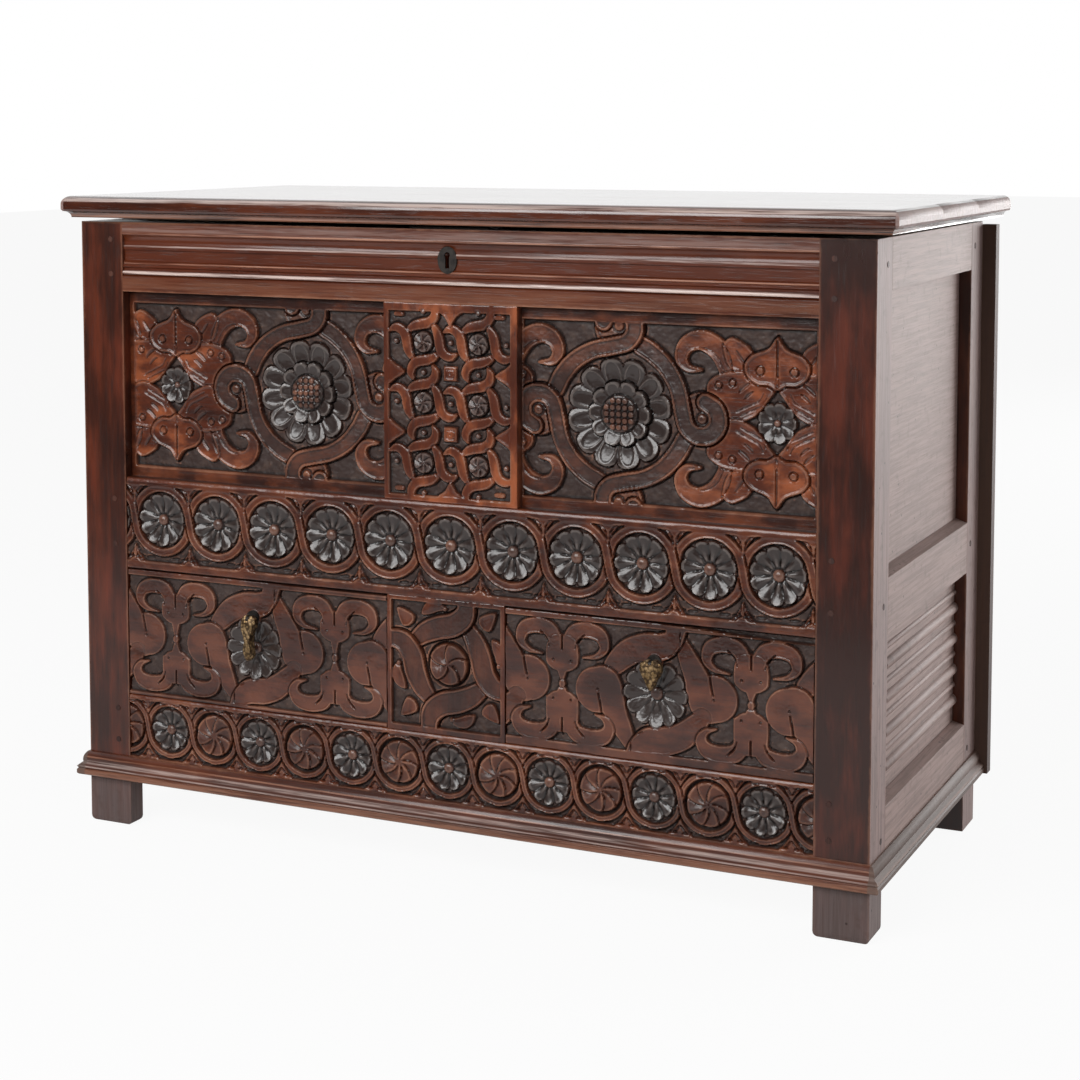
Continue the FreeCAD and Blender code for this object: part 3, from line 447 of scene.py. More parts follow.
        # petals round a centre that lies bowl lower than their tips, with valleys between them
        got = self.disc(x, z, r + 4)
        if got is None:
            return
        area, gx, gz, far = got
        share = ((np.arctan2(gz - z, gx - x) + math.radians(turn)) * count / (2 * math.pi)) % 1.0
        across = np.abs(share - 0.5) * 2
        edge = r * (0.82 + 0.18 * np.sqrt(np.clip(1 - across ** 2.4, 0, 1)))
        t = np.clip(far / edge, 0, 1)
        section = level - bowl * (1 - t ** 1.6) - valley * across ** 2.0 * smooth(t, 0.05, 0.6)
        dish = np.clip(1 - ((across / 0.74) ** 2 + ((t - 0.66) / 0.27) ** 2), 0, 1)
        section = section - spoon * np.sqrt(dish)
        self.lay(area, far - edge, section, 1.5, notch, 1.0)


def beadOf(c, x, z, r, low=-3.5, rise=3.5):   # what lay needs for a round bead
    area, _, _, far = c.disc(x, z, r + 3)
    return area, far - r, low + rise * np.sqrt(np.clip(1 - (far / r) ** 2, 0, 1))


def rosette(c, x, z, r, count, bowl, button, turn):
    c.petals(x, z, r, count, 0.0, 4.6, turn, 0.7, bowl, 2.4)
    c.bead(x, z, button, bowl - 1.0, 0.6, 0.35)


def pinwheel(c, x, z, r, blades, depth, turn=0.0, swirl=34.0, rim=2.4):
    got = c.disc(x, z, r + 4)
    if got is None:
        return
    area, gx, gz, far = got
    c.lay(area, far - r, -0.4, 1.5, 0.0, 0.0, 0.72)
    lead = np.degrees(np.arctan2(gz - z, gx - x)) + turn + swirl * (far / r)
    share = (lead * blades / 360.0) % 1.0
    blade = depth * (1 - smooth(share, 0.0, 0.75)) * smooth(far / r, 0.04, 0.3)
    cut = depth * 0.6 * (1 - smooth(np.minimum(share, 1 - share), 0.0, 0.07))
    c.height[area] -= np.where(far < r, blade * 0.75 + cut, 0.0)
    c.height[area] -= (depth + 0.6) * (1 - smooth(np.abs(far - r + 0.5), rim * 0.3, rim))


def borders(c, low, high, left=0.0, right=0.0, bottom=0.0, top=0.0):   # the plain margins
    middle = ((low[0] + high[0]) / 2, (low[1] + high[1]) / 2)
    for wide, z in ((top, high[1]), (bottom, low[1])):
        if wide:
            c.strap([(x, z) for x in (low[0] - wide, middle[0], high[0] + wide)], 2 * wide, notch=0.0)
    for wide, x in ((left, low[0]), (right, high[0])):
        if wide:
            c.strap([(x, z) for z in (low[1] - wide, middle[1], high[1] + wide)], 2 * wide, notch=0.0)


# the middle rail has rosettes in a plaited band, the bottom rail rosettes and pinwheels by turns
def plait(c, centres, z, radius, width, notch, cut):
    # two waves run from ring to ring, and at each crossing the falling one lies over the rising one
    half = (centres[1] - centres[0]) / 2
    bow = [(half * math.cos(a), radius * math.sin(a)) for a in np.radians((150, 125, 105, 90, 75, 55, 30))]
    for first in (0, 1):
        wave = []
        for i, x in enumerate(centres):
            up = 1 if i % 2 == first else -1
            wave += [(x + px, z + up * pz) for px, pz in bow]
            wave.append((x + half, z))
        c.strap(wave, width, notch=notch, hollow=0.8, fillet=2.6)
    for x in centres[:-1]:
        fall = [(x + px, z + pz) for px, pz in bow[3:]] + [(x + half, z)]
        fall += [(x + 2 * half - px, z - pz) for px, pz in reversed(bow[3:])]
        c.strap(fall, width, notch=cut, hollow=0.8, fillet=2.6, part=(0.22, 0.78))


railLook = {   # millimetres; a vein or nick has its place, its turn in degrees, length, width and depth
    "front_middle_rail": {
        "step": 1.25, "ground": 4.5, "foot": 0.0,
        "first": -476.1, "pitch": 94.16, "repeats": (-1, 13), "z": 464.0,
        "ring": 47.5, "band": 14.0, "notch": 2.2, "cut": 3.0,
        "leaf": [(-21, 6), (-13, -2), (-5, -14), (0, -25), (5, -14), (13, -2), (21, 6)],
        "leafRise": (13.0, 13.0), "leafLevel": -0.6, "leafNotch": 1.6,
        "veins": ((8.5, 3.0, 47, 17, 5.0, 2.8, 0.8), (3.0, 12.0, 16, 13, 3.6, 2.4, 0.0)),
        "nicks": (-25, -8, 8, 25), "nickRows": (("low", 17.5, 4, 15, 6.0, 2.6),),
        "margins": (12.5, 12.5),
        "rosette": 39.5, "petals": 11, "bowl": 7.5, "button": 8.5, "turn": 7, "pinwheel": None,
    },
    "front_bottom_rail": {
        "step": 1.2, "ground": 4.0, "foot": 29.5,
        "first": -466.8, "pitch": 76.3, "repeats": (-2, 15), "z": 153.0,
        "ring": 38.5, "band": 9.5, "notch": 1.4, "cut": 2.2,
        "leaf": [(-17, 5), (-11, -3), (-5, -12), (0, -19), (5, -12), (11, -3), (17, 5)],
        "leafRise": (6.0, 9.0), "leafLevel": -0.4, "leafNotch": 1.4,
        "veins": ((5.5, 4.0, 40, 15, 4.6, 2.6, 0.6),),
        "nicks": (-26, -9.5, 9.5, 26),
        "nickRows": (("low", 5.5, 3, 13, 4.6, 2.4), ("high", -10.0, -3, 13, 3.6, 1.8)),
        "margins": (3.0, 8.5),
        "rosette": 31.5, "petals": 10, "bowl": 5.5, "button": 7.5, "turn": 11,
        "pinwheel": {"blades": 8, "depth": 3.2, "turn": 9},   # in the place of every second rosette
    },
}


def gapLeaf(c, look, x, base, up):   # the leaf in the gap between two rings
    c.leaf(flipped(look["leaf"], x, base, 1, up), look["leafLevel"], notch=look["leafNotch"])
    for way in (-1, 1):
        for across, down, lean, *size, bend in look["veins"]:
            c.gouge(x + way * across, base - up * down, 90 - way * up * lean, *size, bend * way)


def carveRail(look, low, high):
    c = Carving(low, high, look["step"], look["ground"])
    centres = [look["first"] + look["pitch"] * i for i in range(*look["repeats"])]
    z = look["z"]
    edges = {"low": low[1], "high": high[1]}
    plait(c, centres, z, look["ring"], look["band"], look["notch"], look["cut"])
    for x in centres:
        between = x + look["pitch"] / 2
        gapLeaf(c, look, between, high[1] - look["leafRise"][1], 1)
        gapLeaf(c, look, between, low[1] + look["leafRise"][0], -1)
        for place in look["nicks"]:
            for edge, rise, *nick in look["nickRows"]:
                c.gouge(between + place, edges[edge] + rise, *nick)
    borders(c, low, high, bottom=look["margins"][0], top=look["margins"][1])
    wheel = look["pinwheel"]
    for i, x in enumerate(centres):
        if wheel and i % 2:
            pinwheel(c, x, z, look["rosette"], wheel["blades"], wheel["depth"], i * wheel["turn"])
        else:
            rosette(c, x, z, look["rosette"], look["petals"], look["bowl"], look["button"], i * look["turn"])
    return c


# the muntin between the panels has two columns of three small flowers
upperMuntin = {   # millimetres
    "step": 1.1, "ground": 5.0, "wear": 0.95,
    "flowers": ((-45.1, 38.7), (743.3, 660.0, 576.7)), "pitch": 83.6, "radius": 15.8, "bead": 4.4,
    "margins": (9.0, 12.0, 9.0, 13.0),
}


def carvePanelMuntin(low, high):
    look = upperMuntin
    c = Carving(low, high, look["step"], look["ground"])
    c.rubbed = look["wear"]
    xs, zs = look["flowers"]
    half = look["pitch"] / 2
    arm = [(-20, 18), (-12, 22.5), (-2, 25), (8, 27), (16, 33), (19, 42), (15, 51)]
    widths = [12, 16, 17, 17, 16, 14, 7]
    for x in xs:
        for z in zs:
            for turn in (0, 90, 180, 270):
                c.strap(flipped(arm, x, z, turn=turn), widths, -1.4, notch=1.6, crown=1.5)
    middle = sum(xs) / 2
    box = [(-11, 9), (-11, -9), (-9, -11), (9, -11), (11, -9), (11, 9), (9, 11), (-9, 11)]
    fin = [(0, 19), (12, 12), (28, 0), (12, -12), (0, -19), (-6, 0)]
    for z in (zs[0] - half, zs[1] - half):
        c.leaf(flipped(box, middle, z), -0.2, notch=1.0)
        c.groove(flipped([(-5, 5), (-5, -5), (5, -5), (5, 5), (-5, 5)], middle, z), 2.0, 1.2)
        c.hole(middle, z, 1.2, 1.5)
        for x, way in ((low[0] + 3, 1), (high[0] - 3, -1)):
            c.leaf(flipped(fin, x + way * 3, z, way), 0.0, notch=1.6, dish=0.8)
    for z, up in ((high[1] - 8, -1), (low[1] + 6, 1)):
        c.leaf(flipped([(-22, 0), (-10, 11), (0, 24), (10, 11), (22, 0), (0, -8)], middle, z, 1, up),
               0.0, notch=1.6, dish=0.8)
        for x in (low[0] + 23, high[0] - 27):
            c.leaf(flipped([(-7, -3), (-7, 4), (7, 4), (7, -3)], x, z + up * 9), -1.2, notch=0.6)
    borders(c, low, high, *look["margins"])
    for x in xs:
        for z in zs:
            pinwheel(c, x, z, look["radius"], 6, 2.6, 20 + z, 30.0, 1.8)
            c.bog[c.disc(x, z, look["radius"])[0]] = 0.7
    beads = [(x, z) for x in (xs[0] - half, middle, xs[1] + half) for z in zs]
    beads += [(x, z) for x in xs for z in (zs[0] + half, zs[0] - half, zs[1] - half, zs[2] - half)]
    for x, z in beads:
        c.lay(*beadOf(c, x, z, look["bead"]), 1.4, 0.8, 0.5)
    return c


# the muntin between the drawers has four straps round a pinwheel
lowerMuntin = {   # millimetres
    "step": 1.0, "ground": 5.5, "centre": (-8.5, 299.0), "pinwheel": 31.0, "margins": (8.0, 8.0, 10.0, 8.0),
}


def carveDrawerMuntin(low, high):
    look = lowerMuntin
    c = Carving(low, high, look["step"], look["ground"])
    x, z = look["centre"]
    arm = [(-48, 32), (-34, 42), (-15, 50), (8, 56), (24, 68), (29, 84), (28, 104)]
    widths = [26, 32, 35, 35, 33, 28, 25]
    levels = [-3.0, -1.2, 0.0, 0.0, 0.0, 0.0, 0.0]
    for part in ((0.0, 1.0), (0.4, 1.0)):   # each strap again, over the start of the next
        for turn in (180, 90, 0, 270):
            c.strap(flipped(arm, x, z, turn=turn), widths, levels, notch=2.4, hollow=2.0, fillet=3.8,
                    part=part, dark=0.35)
    for turn in (0, 90, 180, 270):
        boss = [(-42, 66), (-38, 80), (-26, 88), (-10, 86), (-4, 76), (-16, 71), (-30, 66)]
        c.leaf(flipped(boss, x, z, turn=turn), -1.6, notch=1.2, crown=1.2)
        spot = flipped([(-5, 77)], x, z, turn=turn)[0]
        c.lay(*beadOf(c, *spot, 4.0, -3.0, 2.0), 1.2, 0.8)
        corner = [(-79, 74), (-54, 67), (-52, 56), (-62, 47), (-73, 50)]
        c.leaf(flipped(corner, x, z, turn=turn), -0.4, notch=1.4, dish=0.6)
    borders(c, low, high, *look["margins"])
    pinwheel(c, x, z, look["pinwheel"], 5, 4.2, 12, 46.0, 3.0)
    return c


# the drawer fronts have flat strapwork that curls round a rosette
drawerLook = {   # millimetres; the eyes are those of the upper and lower sprouts, from the rosette's height
    "left": {
        "centre": (-320.0, 290.0), "pull": (-320.0, 336.0), "eyes": (38.0, -29.0), "bottom": 6.0,
        "lost": 1.0},
    "right": {
        "centre": (298.0, 292.0), "pull": (297.5, 336.0), "eyes": (32.0, -21.0), "bottom": 12.5,
        "lost": 8.0},
    "step": 1.0, "ground": 4.5, "top": 9.0,
    "pattern": (-267, 0, 267),        # the straps' figure, which starts again at both ends
    "columns": (-134, 133),           # the sprouts in between
    "lostFrom": (230.0, 20.0),        # where the worn top edge starts and ends, from the right
    "lostDepth": 9.0,
    "plateFlat": 11.5,                # the flat round the pull's plate
}


def sprout(c, x, z, up, eye, neck):
    # a head with two arms that curl outwards and merge with the border
    if up > 0:
        arm = [(9, 57), (19, 72), (38, 76), (56, 70), (61, 54), (50, 42), (30, 38)]
        widths = [22, 24, 24, 22, 16, 10, 5]
    else:
        arm = [(8, 50), (12, 54), (22, 66), (42, 70), (60, 66), (68, 54), (62, 42), (48, 37)]
        widths = [22, 24, 26, 26, 24, 18, 11, 5]
    for way in (-1, 1):
        c.strap(flipped(arm, x, z, way, up), widths, hollow=0.7, notch=1.6, fillet=3.2)
        c.groove(flipped([(20.6, 56), (25, 63), (32, 69)], x, z, way, up), 3.2, 2.6)
    head = [(0, neck), (12, neck + 2), (22, neck + 9), (25, eye), (24, 52), (16, 64), (0, 68),
            (-16, 64), (-24, 52), (-25, eye), (-22, neck + 9), (-12, neck + 2)]
    c.leaf(flipped(head, x, z, 1, up), notch=0.0)
    for way in (-1, 1):
        c.hole(x + way * 13, z + up * eye, 2.0, 3.0)
        c.groove(flipped([(19, 50), (22, 58), (30, 67)], x, z, way, up), 3.0, 2.4)
    c.groove(flipped([(0, 70), (0, 47)], x, z, 1, up), 3.4, 3.4)


def carveDrawer(side, low, high):
    look = {**drawerLook, **drawerLook[side]}
    x, z = look["centre"]
    upperEye, lowerEye = look["eyes"]
    c = Carving(low, high, look["step"], look["ground"])
    band = [(-66, 24), (-56, 36), (-38, 52), (-15, 61), (8, 64), (24, 75), (31, 95)]
    bandWidths = [24, 32, 38, 40, 38, 30, 30]
    bandLevels = [-2.6, -1.0, 0.0, 0.0, 0.0, 0.0, 0.0]
    roll = [(36, 72), (47, 50), (57, 30), (63, 8), (68, -8), (76, -13)]
    rollWidths = [20, 30, 36, 40, 40, 38]
    rollLevels = [-2.2, 0.0, 0.0, 0.0, 0.0, 0.0]
    turned = [(x + across, z, 1, 1, turn) for across in look["pattern"] for turn in (0, 180)]
    for place in turned:
        c.strap(flipped(band, *place), bandWidths, bandLevels, hollow=0.7, notch=1.8, fillet=3.2)
        c.strap(flipped(roll, *place), rollWidths, rollLevels, notch=1.8)
        c.strap(flipped(band, *place), bandWidths, hollow=0.7, notch=1.8, fillet=3.2, part=(0.45, 1.0))
        spot = flipped([(83, 3)], *place)[0]
        c.strap([spot, (spot[0] + 0.5, spot[1])], 65, notch=0.0)
    for column in look["columns"]:
        neck = [(column, upperEye - 14), (column, 6), (column, -6), (column, lowerEye + 11)]
        c.strap(flipped(neck, x, z), [16, 9, 9, 16], notch=1.0)
        sprout(c, x + column, z, 1, upperEye, upperEye - 17)
        sprout(c, x + column, z, -1, -lowerEye, -lowerEye - 13)
        c.lay(*beadOf(c, x + column, z, 6.0, -1.0, 1.6), 1.4, 1.2)
    for place in turned:
        c.groove(flipped([(76, 36), (78, 22), (81, 8)], *place), 3.8, 3.6)
        c.groove(flipped([(34, 90), (33.5, 64), (18, 52)], *place), 2.6, 2.4)
        c.hole(*flipped([(82, 1.5)], *place)[0], 2.0, 2.6)
    borders(c, low, high, bottom=look["bottom"], top=look["top"])
    c.petals(x, z, 46.0, 12, 0.0, 3.6, 15.0, 1.0, 8.0)
    c.bead(x, z, 9.0, 5.0, 1.0, 0.35)
    area, _, _, far = c.disc(*look["pull"], 15.0)
    c.lay(area, far - look["plateFlat"], 0.0, 1.5)
    gx, gz = np.meshgrid(c.xs, c.zs)   # the top edge, worn away towards its right end
    lost = look["lost"] * smooth(gx, *(high[0] - place for place in look["lostFrom"]))
    gone = smooth(gz - high[1] + lost, 0.0, 1.5)
    c.height -= look["lostDepth"] * gone
    c.solid *= 1.0 - gone
    return c


# the front panels have a whirling rosette between halves of two leafy groups
panelLook = {   # millimetres; the bright side's leaves are rubbed the most
    "left": {"centre": (-240.7, 661.0), "bright": -1, "margins": (9.0, 2.0, 17.0, 19.0)},
    "right": {"centre": (237.5, 658.0), "bright": 1, "margins": (2.0, 9.0, 17.0, 19.0)},
    "step": 1.25, "ground": 6.0,
    "groups": 219.0,                        # from the rosette to the middle of each leafy group
    "wear": {"bright": 0.85, "dull": 0.45, "middle": 0.3},
    "petals": (75.0, 45.0), "dome": 26.0, "berries": 8.8,
}


def leafyGroup(c, x, z):
    hook = [(64, 50), (68, 72), (82, 93), (104, 103), (124, 96), (131, 79), (122, 66), (104, 64)]
    hookWidths = [26, 30, 31, 29, 25, 20, 14, 7]
    top = [(26, 66), (33, 92), (47, 104), (64, 109), (74, 96), (62, 66)]
    mass = [(1, 41), (10, 29), (20, 15), (33, 4), (58, -4), (80, 6), (94, 24), (95, 48), (76, 62),
            (44, 66), (26, 62), (4, 52)]
    for across in (1, -1):
        for up in (1, -1):
            place = (x, z, across, up)
            c.strap(flipped(hook, *place), hookWidths, notch=1.2, hollow=1.3, fillet=3.6, dark=0.2)
            c.leaf(flipped(top, *place), -0.3, dish=1.2, notch=1.2, rim=3.4)
            c.leaf(flipped(mass, *place), 0.0, dish=1.2, notch=1.4, rim=3.6)
            for low, high in (((14, 32), (30, 17)), ((18, 38), (36, 22))):
                bow = ((low[0] + high[0]) / 2 - 3, (low[1] + high[1]) / 2 - 2)
                c.groove(flipped([low, bow, high, (high[0] + 18, high[1] - 9)], *place), 3.0, 1.8)
            c.groove(flipped([(72, 66), (82, 84), (98, 93), (112, 90)], *place), 2.8, 1.6)
            c.groove(flipped([(60, 64), (64, 84), (74, 101)], *place), 3.0, 2.0)
            for spot, *cut in (((44, 44), -40, 20, 7, 2.4, 1.5), ((38, 34), -40, 17, 5, 2.2, 1.5),
                               ((50, 84), 55, 20, 6, 2.0, 0.0)):
                c.gouge(*flipped([spot], *place)[0], cut[0] * across * up, *cut[1:])
            for spot in ((79, 46), (60, 50)):
                c.bead(*flipped([spot], *place)[0], 4.0, 1.4, 1.8)
    spade = [(0, 112), (-13, 97), (-34, 88), (-45, 74), (-41, 58), (-27, 48), (-12, 47), (0, 41), (12, 47),
             (27, 48), (41, 58), (45, 74), (34, 88), (13, 97)]
    for up in (1, -1):
        c.leaf(flipped(spade, x, z, 1, up), 0.5, dish=1.9, notch=3.2, rim=3.6)
        c.groove(flipped([(0, 112), (0, 62)], x, z, 1, up), 4.0, 3.2)
        for across in (1, -1):
            c.bead(*flipped([(23, 67)], x, z, across, up)[0], 4.8, 2.4, 2.2)
            c.groove(flipped([(2, 57), (0, 42)], x, z, across, up), 2.4, 1.4)
        c.hole(x, z + up * 60, 2.0, 2.6)
    c.petals(x, z, 27.5, 9, -0.4, 2.6, 20.0, 0.8, 4.5)
    c.bead(x, z, 4.6, 3.4, 0.6, 0.5)


def carvePanel(side, low, high, tongue):
    look = {**panelLook, **panelLook[side]}
    x, z = look["centre"]
    wear = look["wear"]
    c = Carving([v - tongue for v in low], [v + tongue for v in high], look["step"], look["ground"])
    for way in (-1, 1):
        c.rubbed = wear["bright" if way == look["bright"] else "dull"]
        leafyGroup(c, x + way * look["groups"], z)
    c.rubbed = wear["middle"]
    arm = [(-92, 30), (-82, 48), (-64, 68), (-38, 83), (-8, 90), (12, 96), (22, 110), (20, 128), (6, 139),
           (-12, 136), (-22, 122)]
    widths = [28, 28, 27, 26, 26, 26, 27, 28, 28, 28, 26]
    levels = [-3.2, -1.6, -0.2, 0.6, 0.6, 0.6, 0.6, 0.6, 0.6, 0.6, 0.6]
    armCut = {"hollow": 2.4, "notch": 2.2, "fillet": 4.0, "dark": 0.45}
    eye = [(0, 117), (0.5, 117)]
    for turn in (90, 0, 270, 180):
        c.strap(flipped(eye, x, z, turn=turn), 72, -0.4, notch=2.4, hollow=1.6, fillet=4.0, dark=0.3)
        c.strap(flipped(arm, x, z, turn=turn), widths, levels, **armCut)
    for turn in (90, 0, 270, 180):   # each loop again, over the start of the next arm
        c.strap(flipped(arm, x, z, turn=turn), widths, levels, part=(0.4, 1.0), **armCut)
    for turn in (0, 90, 180, 270):
        spot = flipped(eye[:1], x, z, turn=turn)[0]
        moat = c.disc(*spot, 14)
        if moat:
            c.lay(moat[0], moat[3] - 10.5, -3.6, 1.8, solid=0.4)
            c.lay(*beadOf(c, *spot, 7.4, -3.4, 3.9), 1.6, 0.6)
    outer, inner = look["petals"]
    c.petals(x, z, outer, 12, -1.6, 4.6, 4.0, 3.4, 7.0, 3.6)
    c.petals(x, z, inner, 10, -1.0, 3.4, 19.0, 1.8, 5.0, 3.0)
    dome = look["dome"]
    area, _, _, far = c.disc(x, z, dome + 3)
    c.lay(area, far - dome, -4.8 + 2.6 * np.sqrt(np.clip(1 - (far / (dome + 1)) ** 2, 0, 1)), 2.0, 1.4, 0.8)
    for across in range(-2, 3):
        for up in range(-2, 3):
            if abs(across) + abs(up) < 4:
                c.bead(x + across * look["berries"], z + up * look["berries"], 4.2, 4.6, 0.0, 0.2)
    borders(c, low, high, *look["margins"])
    return c


# a carved board is a fine grid that takes the heights, drawn back and closed behind
def onlySelect(piece):
    bpy.ops.object.select_all(action="DESELECT")
    bpy.context.view_layer.objects.active = piece
    piece.select_set(True)


def softBlur(field, reach):
    size = 2 * reach + 1
    for axis in (0, 1):
        pads = [(reach + 1, reach) if i == axis else (0, 0) for i in (0, 1)]
        total = np.cumsum(np.pad(field, pads, mode="edge"), axis)
        count = total.shape[axis]
        before = np.take(total, range(0, count - size), axis)
        field = (np.take(total, range(size, count), axis) - before) / size
    return field


chisel = {"waves": 3.0, "marks": 0.15, "groundMarks": 0.3, "arris": 0.8}   # millimetres


def handWork(c, seed):
    # a chisel's unevenness over the whole face, rougher on the ground, and worn outer arrises
    rough = np.random.default_rng(seed).normal(size=c.height.shape)
    low = 1.0 - c.solid
    waves = chisel["waves"] * softBlur(softBlur(rough, 7), 7)
    c.height += waves + (chisel["marks"] + chisel["groundMarks"] * low) * softBlur(rough, 1)
    c.height += low * softBlur(softBlur(rough, 2), 2)
    for row in (0, -1):
        c.height[row, :] -= chisel["arris"]
        c.height[:, row] -= chisel["arris"]


def drawnBack(piece, rim, rings):
    # extrudes the open rim once for each ring: its depth, and its insets left, right, below and above
    low, high = rim.min(0), rim.max(0)
    share = (rim - low) / np.maximum(high - low, 1e-9)
    for y, (left, right, bottom, top) in rings:
        bpy.ops.object.mode_set(mode="EDIT")
        bpy.ops.mesh.select_mode(type="EDGE")
        bpy.ops.mesh.select_all(action="DESELECT")
        bpy.ops.mesh.select_non_manifold()
        bpy.ops.mesh.extrude_region_move()
        bpy.ops.object.mode_set(mode="OBJECT")
        places = np.empty(len(piece.data.vertices) * 3)
        piece.data.vertices.foreach_get("co", places)
        ring = places.reshape(-1, 3)[-len(rim):]
        ring[:, 0] = low[0] + left + share[:, 0] * (high[0] - low[0] - left - right)
        ring[:, 1] = y
        ring[:, 2] = low[2] + bottom + share[:, 2] * (high[2] - low[2] - bottom - top)
        piece.data.vertices.foreach_set("co", places)
    bpy.ops.object.mode_set(mode="EDIT")
    bpy.ops.mesh.select_all(action="DESELECT")
    bpy.ops.mesh.select_non_manifold()
    bpy.ops.mesh.edge_face_add()
    bpy.ops.mesh.select_all(action="SELECT")
    bpy.ops.mesh.normals_make_consistent(inside=False)
    bpy.ops.object.mode_set(mode="OBJECT")


def addBlock(piece, low, high):   # a tenon, in millimetres
    middle = [(a + b) / 2000 for a, b in zip(low, high)]
    bpy.ops.object.select_all(action="DESELECT")
    bpy.ops.mesh.primitive_cube_add(size=1.0, location=middle)
    block = bpy.context.active_object
    block.scale = [(b - a) / 1000 for a, b in zip(low, high)]
    bpy.ops.object.transform_apply(location=True, rotation=False, scale=True)
    onlySelect(piece)
    block.select_set(True)
    bpy.ops.object.join()


fullEdge = 0.9   # how many millimetres a place stands over its surroundings to count as an edge


def carvedBoard(name, c, face, rings, seed):
    handWork(c, seed)
    bpy.ops.object.select_all(action="DESELECT")
    bpy.ops.mesh.primitive_grid_add(x_subdivisions=len(c.xs) - 1, y_subdivisions=len(c.zs) - 1, size=1.0)
    piece = bpy.context.active_object
    piece.name = name
    gx, gz = np.meshgrid(c.xs, c.zs)
    places = np.stack([gx, face - np.minimum(c.height, 0.0), gz], -1) / 1000
    piece.data.vertices.foreach_set("co", places.ravel())
    inside = np.zeros(gx.shape, bool)
    inside[1:-1, 1:-1] = True
    rings = [(y / 1000, [inset / 1000 for inset in insets]) for y, insets in rings]
    drawnBack(piece, places[~inside], rings)
    lift = c.height - softBlur(c.height, 3)
    fields = {"relief": c.solid, "edge": np.clip(lift / fullEdge, -1, 1), "bog": c.bog, "wear": c.wear}
    for key, field in fields.items():
        values = np.zeros(len(piece.data.vertices), np.float32)
        values[:gx.size] = field.ravel()
        piece.data.attributes.new(key, "FLOAT", "POINT").data.foreach_set("value", values)
    return piece


record = frame["record"]
bodyOf = {node: body for body, names in record["behaviour"]["bodies"].items() for node in names}
slotOf = {row["node"]: row["material_slot"] for row in record["subparts"]}
frontY = boxMm("front_middle_rail")[0][1]
behind = boxMm("front_middle_rail")[1][1]


def replaceNode(piece, node, material):
    giveMaterial(piece, material)
    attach(piece, bodyOf[node])
    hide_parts(node)


def finishCarved(piece, node, material):
    replaceNode(piece, node, material)
    onlySelect(piece)
    bpy.ops.object.shade_smooth_by_angle(angle=math.radians(38))


carvedFinish = {"worn": 0.9, "gloss": 0.25, "wax": 0.3}


def carvedOak(node, axis, seed, red=0.55, dusty=0.0, thin="thin"):
    return oakMaterial("carved_" + node, axis, seed, red=red, carved=True, dusty=dusty, thin=thin,
                       **carvedFinish)


# seeds of the chisel work in each kind of board; those of the grain lie ten higher
firstSeed = {"rail": 11, "muntin": 31, "panel": 51, "drawer": 71}
grainSeed = 10
tenon = {"start": 12.0, "end": 22.0, "shoulder": 12.0}
plain = (0.0, 0.0, 0.0, 0.0)
backFace = [(behind, plain)]
rubbedArris = ((-5, 0.2), (-4, 0.6), (-3, 1.1), (-2, 1.8), (-1, 2.8))   # rows from the top, and how deep
muntinLook = {   # the heights in millimetres between which each one shows
    "panel_muntin": {"carve": carvePanelMuntin, "below": 524.0, "above": 797.0, "thin": "ember"},
    "drawer_muntin": {"carve": carveDrawerMuntin, "below": 200.0, "above": 390.0, "thin": "thin"},
}
panelTongue = 8.0
drawerRebate = {"depth": 12.0, "insets": (17.0, 17.0, 9.0, 0.0)}


def carveRails():
    shoulders = boxMm("front_stile_left")[1][0], boxMm("front_stile_right")[0][0]
    for seed, (node, look) in enumerate(railLook.items(), firstSeed["rail"]):
        low, high = boxMm(node)
        c = carveRail(look, (shoulders[0], low[2] + look["foot"]), (shoulders[1], high[2]))
        if look["foot"]:
            lengthenBelow(c, look["foot"])
        for row, drop in rubbedArris:
            c.height[row] -= drop
            # the rounded top arris is worn, and its rubbed colour also paints in the highlight along it
            c.wear[row] = 1.0
            c.solid[row] = 1.0
        piece = carvedBoard(node + "_carved", c, frontY, backFace, seed)
        for start, end in ((low[0], shoulders[0]), (shoulders[1], high[0])):
            addBlock(piece, (start, frontY + tenon["start"], low[2] + tenon["shoulder"]),
                     (end, frontY + tenon["end"], high[2] - tenon["shoulder"]))
        finishCarved(piece, node, carvedOak(node, "x", seed + grainSeed))


def lengthenBelow(c, foot):   # the plain strip that the base moulding covers
    rows = int(round(foot / (c.zs[1] - c.zs[0])))
    c.zs = np.concatenate([c.zs[0] - foot + np.arange(rows) * foot / rows, c.zs])
    for name, value in (("height", -0.5), ("bog", 0.0), ("solid", 1.0), ("wear", 0.5)):
        setattr(c, name, np.concatenate([np.full((rows, len(c.xs)), value), getattr(c, name)]))


def carveMuntins():
    for seed, (node, look) in enumerate(muntinLook.items(), firstSeed["muntin"]):
        low, high = boxMm(node)
        c = look["carve"]((low[0], look["below"]), (high[0], look["above"]))
        piece = carvedBoard(node + "_carved", c, frontY, backFace, seed)
        for start, end in ((low[2], look["below"]), (look["above"], high[2])):
            addBlock(piece, (low[0] + tenon["shoulder"], frontY + tenon["start"], start),
                     (high[0] - tenon["shoulder"], frontY + tenon["end"], end))
        finishCarved(piece, node, carvedOak(node, "z", seed + grainSeed, thin=look["thin"]))


